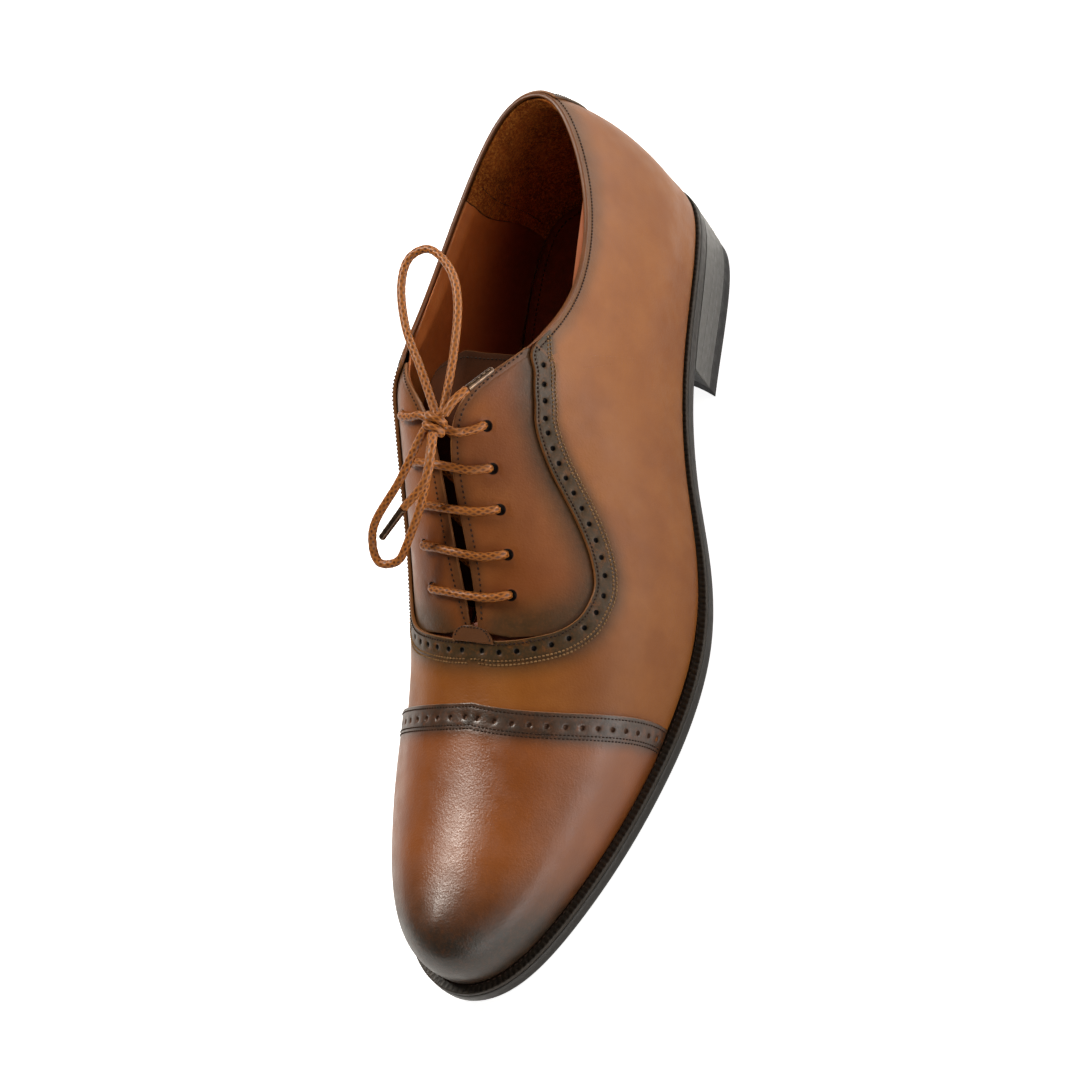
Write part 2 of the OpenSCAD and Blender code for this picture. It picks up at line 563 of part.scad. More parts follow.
heel_top_piece();
heel_lift_1();
heel_lift_2();
heel_seat_lift();
heel_nails();
outsole_rear();
outsole_forepart();
welt();
cork_filler();
shank();
insole_rear();
insole_forepart();
sock_liner();
toe_cap();
toe_puff();
upper_body();
facing_lateral();
facing_medial();
throat_tab();
back_strip();
topline_binding();
heel_counter();
quarter_lining_lateral();
quarter_lining_medial();
heel_grip();
vamp_lining();
tongue();
tongue_lining();
eyelet_rings();
lace_bars();
lace_knot();
bow_loop_up();
bow_loop_down();
lace_end_front();
lace_end_back();
aglet_front();
aglet_back();
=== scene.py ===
"""Left leather oxford: the looks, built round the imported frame.

The design is worked out in millimetres, as in the part's own source, and every mesh is
turned into metres as it is made. Rows k run from the toe (0) to the back of the heel (13);
h runs up the wall from the bottom edge (0) to the top edge (1); u runs round the shoe.
"""
from math import cos, pi, radians, sin

import bmesh
import bpy
import numpy as np
from mathutils import Matrix, Vector


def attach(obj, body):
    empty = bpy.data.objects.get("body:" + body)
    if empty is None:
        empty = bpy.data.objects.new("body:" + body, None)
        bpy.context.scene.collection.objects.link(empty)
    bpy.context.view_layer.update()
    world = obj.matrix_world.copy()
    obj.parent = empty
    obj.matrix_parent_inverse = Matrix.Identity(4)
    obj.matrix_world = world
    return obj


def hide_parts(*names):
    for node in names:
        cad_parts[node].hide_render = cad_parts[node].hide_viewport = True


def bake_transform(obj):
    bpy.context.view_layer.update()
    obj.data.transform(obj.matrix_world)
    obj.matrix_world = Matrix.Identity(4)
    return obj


MM = 0.001
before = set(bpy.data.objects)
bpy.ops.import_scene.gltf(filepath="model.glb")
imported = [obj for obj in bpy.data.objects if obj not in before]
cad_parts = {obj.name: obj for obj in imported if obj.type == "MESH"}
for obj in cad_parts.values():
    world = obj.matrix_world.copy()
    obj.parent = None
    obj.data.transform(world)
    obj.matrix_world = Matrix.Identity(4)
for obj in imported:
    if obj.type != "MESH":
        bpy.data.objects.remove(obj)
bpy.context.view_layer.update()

# ---------------------------------------------------------------- the last
# Bottom edge: distance from the heel back, outer half width, inner half width, height.
# Top edge: the same four. Swell of the wall: out on the outer side, out on the inner side, up.
# Reach of the top: out on the outer and inner side, rise on the outer and inner side.
STATIONS = np.array([
    [302, -7, -7, 18.7, 286, -9, -9, 43, 3.5, 3.5, 17, 12, 12, 0, 0],
    [295, 8, -22, 18.2, 281, -8, -8, 43.5, 3.5, 3.5, 17, 15, 15, 0, 0],
    [275, 20, -34, 15.2, 272, -6.5, -6.5, 45, 3.5, 3.5, 18, 20, 20, 0, 0],
    [250, 30, -42, 10.5, 253, -4.5, -4.5, 47.5, 3.5, 3.5, 20, 24, 24, 0, 0],
    [225, 38, -46, 7.8, 232, -2.5, -2.5, 52, 4, 4, 22, 27, 27, 0, 0],
    [200, 45, -46, 7.2, 210, -0.5, -0.5, 60, 4, 4, 26, 27, 27, 0, 0],
    [175, 49, -42, 8.8, 187, 1.5, -4.5, 75, 5, 7.5, 30, 24, 28, -1, 1],
    [149, 47, -36, 13, 163, -1.5, -7, 92, 7, 12, 34, 20, 31, -9, -3],
    [121, 40, -32, 19.2, 137, -1.5, -9.5, 110, 7, 13, 34, 17, 31, -14, -6],
    [93, 35.5, -31, 24, 120, 20.5, -29, 104, 7, 8.5, 32, 10, 18, -20, -15],
    [63, 34, -32, 28, 89, 29.5, -33, 89, 8, 5.5, 26, 3.5, 5, -22, -22],
    [19, 33.5, -32, 30, 46, 25, -28.5, 88, 5.5, 5.5, 24, 11, 4, -22, -22],
    [6, 25, -20, 31.5, 12, 12, -14.5, 97, 3, 5.5, 24, 19, 4, -22, -22],
    [0, 1, 1, 31.5, 5, -0.5, -0.5, 98, 5.5, 5.5, 24, 7, 7, -22, -22]])
ROWS = len(STATIONS)
NET = 2*(ROWS - 1)
HEEL_ROW = ROWS - 1
HEEL_BACK = 36
RIDGE_ROW = 5
SHOE_RIDGE_END, INSTEP_RIDGE_END = 5.7, 9.5
TONGUE_MID = [[6, 0, 75], [7, -2.7, 91], [8, -3.8, 104.5], [9, -3, 110], [10, -2.5, 112]]
CLOSED_END = 10
# Reach and rise of the top where the instep is closed over the tongue.
CLOSED_OUTER, CLOSED_INNER = (22, -2), (34, 2)
UP = np.array([0, 0, 1.0])


def unit(v):
    return v/np.linalg.norm(v, axis=-1, keepdims=True)


def smooth(a, b, x):
    t = np.clip((x - a)/(b - a), 0, 1)
    return t*t*(3 - 2*t)


def mix(a, b, t):
    return a*(1 - t) + b*t


row_index = np.array([i if i < ROWS else NET - i for i in range(NET)])
outer_side = np.arange(NET) < ROWS
table = STATIONS[row_index]


def by_side(outer, inner):
    return np.where(outer_side, table[:, outer], table[:, inner])


bottom_net = np.stack([by_side(1, 2), HEEL_BACK - table[:, 0], table[:, 3]], 1)
top_net = np.stack([by_side(5, 6), HEEL_BACK - table[:, 4], table[:, 7]], 1)
along = np.roll(bottom_net, -1, 0) - np.roll(bottom_net, 1, 0)
out_net = unit(np.stack([along[:, 1], -along[:, 0], 0*along[:, 0]], 1))


def slope_of(tops, k):
    a, b = tops[max(k - 1, 0)], tops[k + 1]
    return (b[2] - a[2])/(b[1] - a[1])


swell_net = bottom_net + out_net*by_side(8, 9)[:, None] + UP*table[:, 10:11]
reach_net = top_net + out_net*by_side(11, 12)[:, None]
closed_top = top_net.copy()
for k, x, z in TONGUE_MID:
    for i in (k, NET - k):
        closed_top[i] = [x, top_net[i][1], z]
closed_reach = reach_net.copy()
for i, k in enumerate(row_index):
    if k <= RIDGE_ROW:
        reach_net[i, 2] += (reach_net[i] - top_net[i])[1]*slope_of(top_net, k)
    else:
        reach_net[i, 2] += by_side(13, 14)[i]
    closed_reach[i] = reach_net[i]
    if RIDGE_ROW < k < CLOSED_END:
        out, rise = CLOSED_OUTER if outer_side[i] else CLOSED_INNER
        v = out_net[i]*out
        closed_reach[i] = closed_top[i] + v + UP*(v[1]*slope_of(closed_top, k) + rise)
SHOE = (bottom_net, swell_net, reach_net, top_net)
INSTEP = (bottom_net, swell_net, closed_reach, closed_top)


def spline(p, u):
    u = np.asarray(u, float)
    i = np.floor(u).astype(int)
    f = (u - i)[..., None]
    return (p[(i - 1) % NET]*(1 - f)**3 + p[i % NET]*(3*f**3 - 6*f*f + 4)
            + p[(i + 1) % NET]*(-3*f**3 + 3*f*f + 3*f + 1) + p[(i + 2) % NET]*f**3)/6


def wall(s, u, h):
    u, h = np.broadcast_arrays(np.asarray(u, float), np.asarray(h, float))
    t = h[..., None]
    return (spline(s[0], u)*(1 - t)**3 + spline(s[1], u)*3*t*(1 - t)**2
            + spline(s[2], u)*3*t*t*(1 - t) + spline(s[3], u)*t**3)


def side_normal(s, u, h):
    g = np.clip(h, 0.02, 0.97)
    du = wall(s, u + 0.01, g) - wall(s, u - 0.01, g)
    dh = wall(s, u, g + 0.01) - wall(s, u, g - 0.01)
    return unit(np.cross(du, dh))


def normal(s, u, h):
    """Outward normal; over the closed forepart the two sides share it on the ridge."""
    u, h = np.broadcast_arrays(np.asarray(u, float), np.asarray(h, float))
    n = side_normal(s, u, h)
    k = np.minimum(u % NET, NET - u % NET)
    last = SHOE_RIDGE_END if s is SHOE else INSTEP_RIDGE_END
    share = smooth(0.86, 1, h)*0.5*(k < last)
    other = side_normal(s, NET - u, h)
    return unit(mix(n, other, share[..., None]))


def skin(s, u, h, off):
    return wall(s, u, h) + normal(s, u, h)*np.asarray(off, float)[..., None]


def chart(k, w):
    """Crosswise place (row, w from the outer edge over the ridge to the inner edge) as (u, h)."""
    k, w = np.broadcast_arrays(np.asarray(k, float), np.asarray(w, float))
    return np.where(w <= 1, k, NET - k), np.where(w <= 1, w, 2 - w)


def edge(u, out, up):
    d = spline(bottom_net, u + 0.01) - spline(bottom_net, u - 0.01)
    n = unit(np.stack([d[..., 1], -d[..., 0], 0*d[..., 0]], -1))
    return (spline(bottom_net, u) + n*np.asarray(out, float)[..., None]
            + UP*np.asarray(up, float)[..., None])


WELT_REACH, WAIST_REACH = 4.6, 2.2


def reach(u):
    k = np.minimum(u % NET, NET - u % NET)
    return np.interp(k, [0, 4.6, 6, 8, 9, 13],
                     [WELT_REACH, WELT_REACH, WELT_REACH - 0.6, WAIST_REACH + 0.3, WAIST_REACH,
                      WAIST_REACH + 0.2])


def catmull(points, n):
    """Smooth curve through a list of points, n steps between neighbours."""
    p = np.asarray(points, float)
    q = np.vstack([p[:1], p, p[-1:]])
    t = (np.arange(n)/n)[:, None]
    out = [(b*2 + (c - a)*t + (a*2 - b*5 + c*4 - d)*t*t + (b*3 - a - c*3 + d)*t**3)/2
           for a, b, c, d in zip(q[:-3], q[1:-2], q[2:-1], q[3:])]
    return np.vstack(out + [p[-1:]])


def lengths(p):
    return np.r_[0, np.cumsum(np.linalg.norm(np.diff(p, axis=0), axis=1))]


def resample(p, positions):
    s = lengths(p)
    return np.stack([np.interp(positions, s, c) for c in p.T], 1)


# ---------------------------------------------------------------- layers and paths
# Heights above the last's surface. FOOT_SWELL is how far the leather rolls out over the welt
# on the outer side.
GAP = 0.1
LEATHER = 1.3
CAP_LOW, CAP_TOP = 0.15, 1.35
FACING_TOP, FACING_LOW = -1.6, -2.7
LINING_TOP, LINING_LOW = -3.4, -4.2
TONGUE_TOP, TONGUE_LOW = -9.4, -10.5
FOOT_EDGE = 0.02
WELT_TOP, WELT_LOW = -0.1, -2.0
SOLE_TOP, SOLE_LOW = -2.1, -7.1
BAND_WIDTH, BAND_STOP = 6.6, 9.22
HOLE_ROW, CAP_HOLE_ROW = 3.4, 4.4
HOLE_PITCH, HOLE_RADIUS = 5.5, 0.95
LACE_HOLE_RADIUS = 2.05
CAP_FRONT = 8.2
FOOT_SWELL = 1.2

BAND_INNER = np.array([
    [5.38, 1], [5.38, 0.9], [5.44, 0.78], [5.55, 0.66], [5.71, 0.582], [5.9, 0.54], [6.15, 0.513],
    [6.5, 0.525], [6.9, 0.565], [7.39, 0.627], [7.9, 0.68], [8.31, 0.727], [8.8, 0.84], [9.14, 0.972],
    [9.5, 0.999], [10.4, 1], [11.4, 1], [12.1, 1], [12.6, 1], [13, 1]])
BODY_OUTER = np.array(
    [[3.7, 1], [3.7, 0.75], [3.7, 0.5], [3.7, 0.25], [3.75, 0.04]]
    + [[k, FOOT_EDGE] for k in (4.5, 5.3, 6.1, 6.8, 7.5, 8.1, 8.6, 9, 9.4, 10, 10.8, 11.5, 12.1,
                                12.6, 13)])
FACING_OUTER = np.array([
    [5.44, 0.86], [5.52, 0.68], [5.7, 0.55], [6, 0.48], [6.37, 0.468], [6.9, 0.52], [7.4, 0.585],
    [7.9, 0.635], [8.3, 0.69], [8.8, 0.8], [9.15, 0.92]])
FACING_THROAT = np.array([
    [5.47, 1], [5.7, 1], [5.95, 1], [6.2, 1], [6.6, 1], [7, 1], [7.5, 1], [7.9, 1], [8.35, 1],
    [8.8, 1], [9.15, 1]])
HOLES_OUTER = np.array([[7.83, 0.855], [7.33, 0.83], [6.88, 0.825], [6.38, 0.825], [5.92, 0.835]])
HOLES_INNER = np.array([[8.08, 0.835], [7.43, 0.83], [6.95, 0.84], [6.48, 0.815], [5.98, 0.815]])
KNOT = np.array([-2, -111, 112.0])


def cap_row(w):
    return 4.56 + np.where(w < 1, 0.12, 0.36)*(w - 1)**2


def mirrored(path):
    """The same path on the inner side, continuing round the heel or over the ridge."""
    return np.stack([NET - path[::-1, 0], path[::-1, 1]], 1)


def flow(s, u, h, steps, turn=1):
    """Rows that leave a path (u, h) square to it and stay square, at the given distances."""
    even = 9
    p = wall(s, u, h)
    t = np.gradient(p, axis=0)
    d = unit(np.cross(t, normal(s, u, h)))*turn
    kernel = np.hanning(even + 2)[1:-1]
    pad = np.pad(d, ((even//2, even//2), (0, 0)), mode="edge")
    d = unit(np.stack([np.convolve(c, kernel/kernel.sum(), "valid") for c in pad.T], 1))
    rows = [(u, h)]
    at = 0.0
    e = 0.004
    for b in steps:
        count = max(1, int(np.ceil((b - at)/0.5)))
        for _ in range(count):
            su = (wall(s, u + e, h) - wall(s, u - e, h))/(2*e)
            sh = (wall(s, u, h + e) - wall(s, u, h - e))/(2*e)
            v = d*(b - at)/count
            a, m, c = (su*su).sum(-1), (su*sh).sum(-1), (sh*sh).sum(-1)
            r1, r2 = (su*v).sum(-1), (sh*v).sum(-1)
            det = a*c - m*m
            u = u + (c*r1 - m*r2)/det
            h = np.clip(h + (a*r2 - m*r1)/det, 0.0, 1.0)
            n = normal(s, u, h)
            d = unit(d - n*(d*n).sum(-1, keepdims=True))
        at = b
        rows.append((u, h))
    return np.array([r[0] for r in rows]), np.array([r[1] for r in rows])


# ---------------------------------------------------------------- meshes
def make_object(name, verts, faces, attrs=None):
    mesh = bpy.data.meshes.new(name)
    mesh.from_pydata((np.asarray(verts)*MM).tolist(), [], faces)
    for key, values in (attrs or {}).items():
        layer = mesh.attributes.new(key, "FLOAT", "POINT")
        layer.data.foreach_set("value", np.asarray(values, np.float32))
    bm = bmesh.new()
    bm.from_mesh(mesh)
    bmesh.ops.remove_doubles(bm, verts=bm.verts, dist=2e-6)
    bmesh.ops.dissolve_degenerate(bm, edges=bm.edges, dist=1e-7)
    bmesh.ops.recalc_face_normals(bm, faces=bm.faces)
    bm.to_mesh(mesh)
    bm.free()
    mesh.polygons.foreach_set("use_smooth", np.ones(len(mesh.polygons), bool))
    obj = bpy.data.objects.new(name, mesh)
    bpy.context.scene.collection.objects.link(obj)
    return obj


def grid_faces(r, c, loop_rows, loop_cols, cut=()):
    cut = set(cut)
    faces = []
    for i in range(r if loop_rows else r - 1):
        a, b = i*c, ((i + 1) % r)*c
        for j in range(c if loop_cols else c - 1):
            if (i, j) not in cut:
                j1 = (j + 1) % c
                faces.append((a + j, a + j1, b + j1, b + j))
    return faces


class Sheet:
    """A leather piece: rows of points on its outside, closed by rounded edges and an inside."""

    def __init__(self, points, normals, thick, attrs=None, back=6, ring=False, fold=False,
                 soft=0.3):
        self.r, self.c = points.shape[:2]
        self.ring, self.fold = ring, fold
        soft = min(soft, thick*0.45)
        self.points, self.normals = points, normals

        def rim(row, step):
            p, n = points[row], normals[row]
            away = unit(p - points[row + step])
            return [p - n*d*thick + away*soft*o for d, o in
                    ((soft*0.3/thick, 0.55), (soft/thick, 0.9), (1 - soft/thick, 0.9),
                     (1 - soft*0.3/thick, 0.55))]

        picks = np.unique(np.linspace(0, self.r - 1, back).round().astype(int))[::-1]
        inside = np.stack([points[i] - normals[i]*thick for i in picks])
        last = [] if fold else rim(-1, -1)
        first = rim(0, 1)[::-1]
        self.points = np.concatenate([points] + ([np.stack(last)] if last else [])
                                     + [inside, np.stack(first)])
        self.attrs = {}
        for key, values in (attrs or {}).items():
            rest = [values[-1]]*len(last) + [values[i] for i in picks] + [values[0]]*4
            self.attrs[key] = np.concatenate([values, np.stack(rest)])
        edge_flag = np.zeros(self.points.shape[:2])
        edge_flag[self.r:self.r + len(last)] = 1
        edge_flag[-4:] = 1
        self.attrs["edge"] = edge_flag
        # Pit mask: where the paint puts painted shade inside punched holes.
        self.attrs["pit_shade"] = np.zeros(self.points.shape[:2])
        self.cut = [(self.r - 1, j) for j in range(self.c)] if fold else []
        self.extra, self.extra_faces = [], []
        self.extra_attrs = {k: [] for k in self.attrs}

    def punch(self, i, j, radius, half=2, depth=0.9, dish=0.12):
        """A round punched hole about grid point (i, j) of the outside."""
        c = self.points.shape[1]
        centre = self.points[i, j].copy()
        n = self.normals[i, j]
        e1 = unit(self.points[i, (j + 1) % c] - self.points[i, (j - 1) % c])
        e2 = np.cross(n, e1)

        def place(block, r, sink, share):
            ring = []
            for a in range(-block, block):
                ring += [(-block, a), (a, block), (block, -a), (-a, -block)]
            ring.sort(key=lambda q: np.arctan2(*self.polar(centre, e1, e2, i, j, q)))
            for q in ring:
                y, x = self.polar(centre, e1, e2, i, j, q)
                angle = np.arctan2(y, x)
                now = np.hypot(x, y)
                r1 = mix(now, r, share)
                at = (i + q[0], (j + q[1]) % c)
                self.points[at] += (e1*cos(angle) + e2*sin(angle))*(r1 - now) - n*sink
            return ring

        place(half + 1, radius + 0.5, dish*0.7, 0.55)
        rim = place(half, radius, dish, 1.0)
        for a in range(-half, half):
            for b in range(-half, half):
                self.cut.append((i + a, (j + b) % c))
        total = self.points.shape[0]*c
        rings = [[(i + q[0])*c + (j + q[1]) % c for q in rim]]
        m = len(rim)
        # The inner rings and the tip are marked as pits: the paint fills them with painted shade.
        for scale, sink, pit_shade in ((0.94, 0.2, 0.8), (0.88, depth, 1)):
            ids = []
            for q in rim:
                at = (i + q[0], (j + q[1]) % c)
                p = centre + (self.points[at] - centre)*scale
                p = p - n*(((p - centre)*n).sum()) - n*sink
                ids.append(total + len(self.extra))
                self.extra.append(p)
                for key in self.extra_attrs:
                    self.extra_attrs[key].append(pit_shade if key == "pit_shade" else self.attrs[key][at])
            rings.append(ids)
        tip = total + len(self.extra)
        self.extra.append(centre - n*(depth*1.02))
        for key in self.extra_attrs:
            self.extra_attrs[key].append(1.0 if key == "pit_shade" else self.attrs[key][i, j])
        for a, b in zip(rings[:-1], rings[1:]):
            for q in range(m):
                self.extra_faces.append((a[q], a[(q + 1) % m], b[(q + 1) % m], b[q]))
        for q in range(m):
            self.extra_faces.append((rings[-1][q], rings[-1][(q + 1) % m], tip))

    def polar(self, centre, e1, e2, i, j, q):
        v = self.points[i + q[0], (j + q[1]) % self.points.shape[1]] - centre
        return (v*e2).sum(), (v*e1).sum()

    def build(self, name):
        r, c = self.points.shape[:2]
        faces = grid_faces(r, c, True, self.ring, self.cut) + self.extra_faces
        if not self.ring:
            faces.append(tuple(i*c for i in range(r)))
            faces.append(tuple(i*c + c - 1 for i in range(r))[::-1])
        verts = self.points.reshape(-1, 3)
        attrs = {k: v.reshape(-1) for k, v in self.attrs.items()}
        if self.extra:
            verts = np.vstack([verts, np.array(self.extra)])
            attrs = {k: np.r_[v, self.extra_attrs[k]] for k, v in attrs.items()}
        return make_object(name, verts, faces, attrs)


def loft(name, sections, ring=False, attrs=None):
    """Solid through equal closed sections (n, m, 3)."""
    n, m = sections.shape[:2]
    faces = grid_faces(n, m, ring, True)
    if not ring:
        faces += [tuple(range(m)), tuple(range((n - 1)*m, n*m))[::-1]]
    flat = {k: v.reshape(-1) for k, v in (attrs or {}).items()}
    return make_object(name, sections.reshape(-1, 3), faces, flat)


def frames(p):
    t = unit(np.gradient(p, axis=0))
    n = np.zeros_like(p)
    n[0] = unit(np.cross(t[0], [0.3, 0.2, 1.0]))
    for i in range(1, len(p)):
        v = n[i - 1] - t[i]*(n[i - 1]*t[i]).sum()
        n[i] = v/np.linalg.norm(v)
    return t, n, np.cross(t, n)


CORD_STEP, CORD_SIDES = 0.27, 30
BRAID_PITCH, BRAID_STRANDS, BRAID_DEPTH = 2.7, 5, 0.035


def cord(name, path, width, phase=0.0):
    """Round waxed cord: a tube whose surface carries the diamond lumps of its braid."""
    length = lengths(path)[-1]
    s = np.linspace(0, length, max(3, int(length/CORD_STEP)))
    p = resample(path, s)
    _, n, b = frames(p)
    angle = 2*pi*np.arange(CORD_SIDES)/CORD_SIDES
    turn = 2*pi*s[:, None]/BRAID_PITCH
    strand = BRAID_STRANDS*angle
    lump = np.maximum(np.cos(strand + turn + phase), np.cos(strand - turn))*1.25 - 0.35
    slow = 1 + 0.025*np.sin(s/7.0 + phase)[:, None]
    radius = width/2*slow*(1 - BRAID_DEPTH*0.5 + BRAID_DEPTH*lump)
    ring = p[:, None] + radius[..., None]*(n[:, None]*np.cos(angle)[:, None]
                                           + b[:, None]*np.sin(angle)[:, None])
    return loft(name, ring, attrs={"lump": lump})


STITCH_SINK = 0.1


def stitch_row(points, normals, pitch=1.35, length=1.0, thick=0.5):
    """Vertices and faces of a row of thread stitches lying on a path."""
    s = lengths(points)
    at = np.arange(pitch*0.5, s[-1] - pitch*0.4, pitch)
    c = resample(points, at)
    t = unit(resample(points, at + 0.3) - resample(points, at - 0.3))
    n = unit(np.stack([np.interp(at, s, q) for q in normals.T], 1))
    side = np.cross(n, t)
    x = np.array([-0.5, -0.36, -0.13, 0.13, 0.36, 0.5])*length
    fat = np.array([0.25, 0.8, 1, 1, 0.8, 0.25])*thick/2
    drop = -STITCH_SINK - 0.32*(np.abs(x)/(length*0.5))**2*thick
    angle = 2*pi*np.arange(7)/7
    tmpl = np.stack([np.repeat(x, 7), (fat[:, None]*np.cos(angle)).ravel(),
                     (fat[:, None]*np.sin(angle) + drop[:, None] + thick*0.3).ravel()], 1)
    verts = (c[:, None] + t[:, None]*tmpl[None, :, :1] + side[:, None]*tmpl[None, :, 1:2]
             + n[:, None]*tmpl[None, :, 2:])
    one = grid_faces(6, 7, False, True) + [tuple(range(7))[::-1], tuple(range(35, 42))]
    faces = [tuple(v + 42*i for v in f) for i in range(len(at)) for f in one]
    return verts.reshape(-1, 3), faces


def thread(name, rows):
    verts, faces, base = [], [], 0
    for v, f in rows:
        verts.append(v)
        faces += [tuple(q + base for q in g) for g in f]
        base += len(v)
    return make_object(name, np.vstack(verts), faces)


def leather(u, h, off, lift=0.0):
    """Points and normals of a grid, or of a row, that lies on the last's surface."""
    n = normal(SHOE, u, h)
    return wall(SHOE, u, h) + n*(off + lift + 0*u)[..., None], n


def nearest(p, line):
    """Distance from each point of a grid to the nearest point of a line."""
    return np.linalg.norm(p[:, :, None] - line[None, None], axis=-1).min(2)


# ---------------------------------------------------------------- upper: quarters and vamp
def heal(u, h, column):
    """Evens out the rows of a grid where they cross the ridge at a column."""
    half = 5
    cols = (column + np.arange(-half, half + 1)) % u.shape[1]
    u, h = u.copy(), h.copy()
    over = u[:, cols] > HEEL_ROW
    k = np.where(over, NET - u[:, cols], u[:, cols])
    w = np.where(over, 2 - h[:, cols], h[:, cols])
    t = np.linspace(0, 1, 2*half + 1)
    u[:, cols], h[:, cols] = chart(*(mix(q[:, :1], q[:, -1:], t) for q in (k, w)))
    return u, h


def wander(p, size, seed):
    """Slow, smooth variation over the surface, about -1 to 1."""
    g = np.random.default_rng(seed)
    total = 0
    for _ in range(7):
        d = unit(g.normal(size=3))/size*g.uniform(0.6, 1.5)
        total = total + np.sin(p @ d + g.uniform(0, 6.28))
    return total/3.2


def toe_burn(p):
    """Dark burnish round the tip of the toe."""
    tip = np.array([-12, HEEL_BACK - 303, 20.0])
    far = np.linalg.norm(p - tip, axis=-1) + 0.8*(p[..., 2] - 18)
    return 1 - smooth(34, 70, far)


def unbroken(line, across, gap=3.0):
    """Longest stretch of a line between gaps."""
    jumps = np.flatnonzero(np.linalg.norm(np.diff(line, axis=0), axis=1) > gap)
    cuts = np.r_[0, jumps + 1, len(line)]
    i = int(np.argmax(np.diff(cuts)))
    return line[cuts[i]:cuts[i + 1]], across[cuts[i]:cuts[i + 1]]


def run_on(s, start, across, ahead, step=0.5):
    """Carries a line straight on over the surface from a point until it reaches the top edge."""
    k = np.linspace(8, 11, 160)[:, None]
    h = np.linspace(0.4, 1.0, 160)[None]
    best = []
    for side in (0, 1):
        q = wall(s, NET - k if side else k, h)
        best.append((q, np.linalg.norm(q - start, axis=-1).min()))
    q = best[int(best[1][1] < best[0][1])][0]
    points, normals = [start], [across]
    for _ in range(60):
        target = points[-1] + ahead*step
        i, j = np.unravel_index(np.argmin(np.linalg.norm(q - target, axis=-1)), q.shape[:2])
        if j > 155:
            break
        e = unit(np.cross(q[i, j] - q[i - 1, j], q[i, j] - q[i, j - 1]))
        e = e*np.sign((e*across).sum())
        points.append(target - e*((target - q[i, j])*e).sum())
        normals.append(e)
    return np.array(points[1:]).reshape(-1, 3), np.array(normals[1:]).reshape(-1, 3)


def fill(u, h, far_u, far_h, guide, count, ridge):
    """Carries a flow on to a far line in count rows; adds the places and their distances."""
    t = (np.arange(1, count + 1)/count)[:, None]
    u, h = heal(np.vstack([u, mix(u[-1], far_u, t)]), np.vstack([h, mix(h[-1], far_h, t)]), ridge)
    p = wall(SHOE, u, h)
    gaps = np.linalg.norm(np.diff(p, axis=0), axis=2)
    b = np.cumsum(np.r_[np.zeros((1, u.shape[1])), gaps], axis=0)
    b[:len(guide)] = guide[:, None]
    return u, h, p, b


def row_at(u, h, guide, dist, keep, off=0.0):
    """Points and normals of the row that lies at a distance from the first row of a flow."""
    i = np.interp(dist, guide, np.arange(len(guide)))
    a, f = int(i), i - int(i)
    return leather(mix(u[a], u[a + 1], f)[keep], mix(h[a], h[a + 1], f)[keep], off)


def grooves(b, lines):
    """Press marks of the stitch rows at the given distances."""
    return sum(np.exp(-((b - r)/0.35)**2) for r in lines)


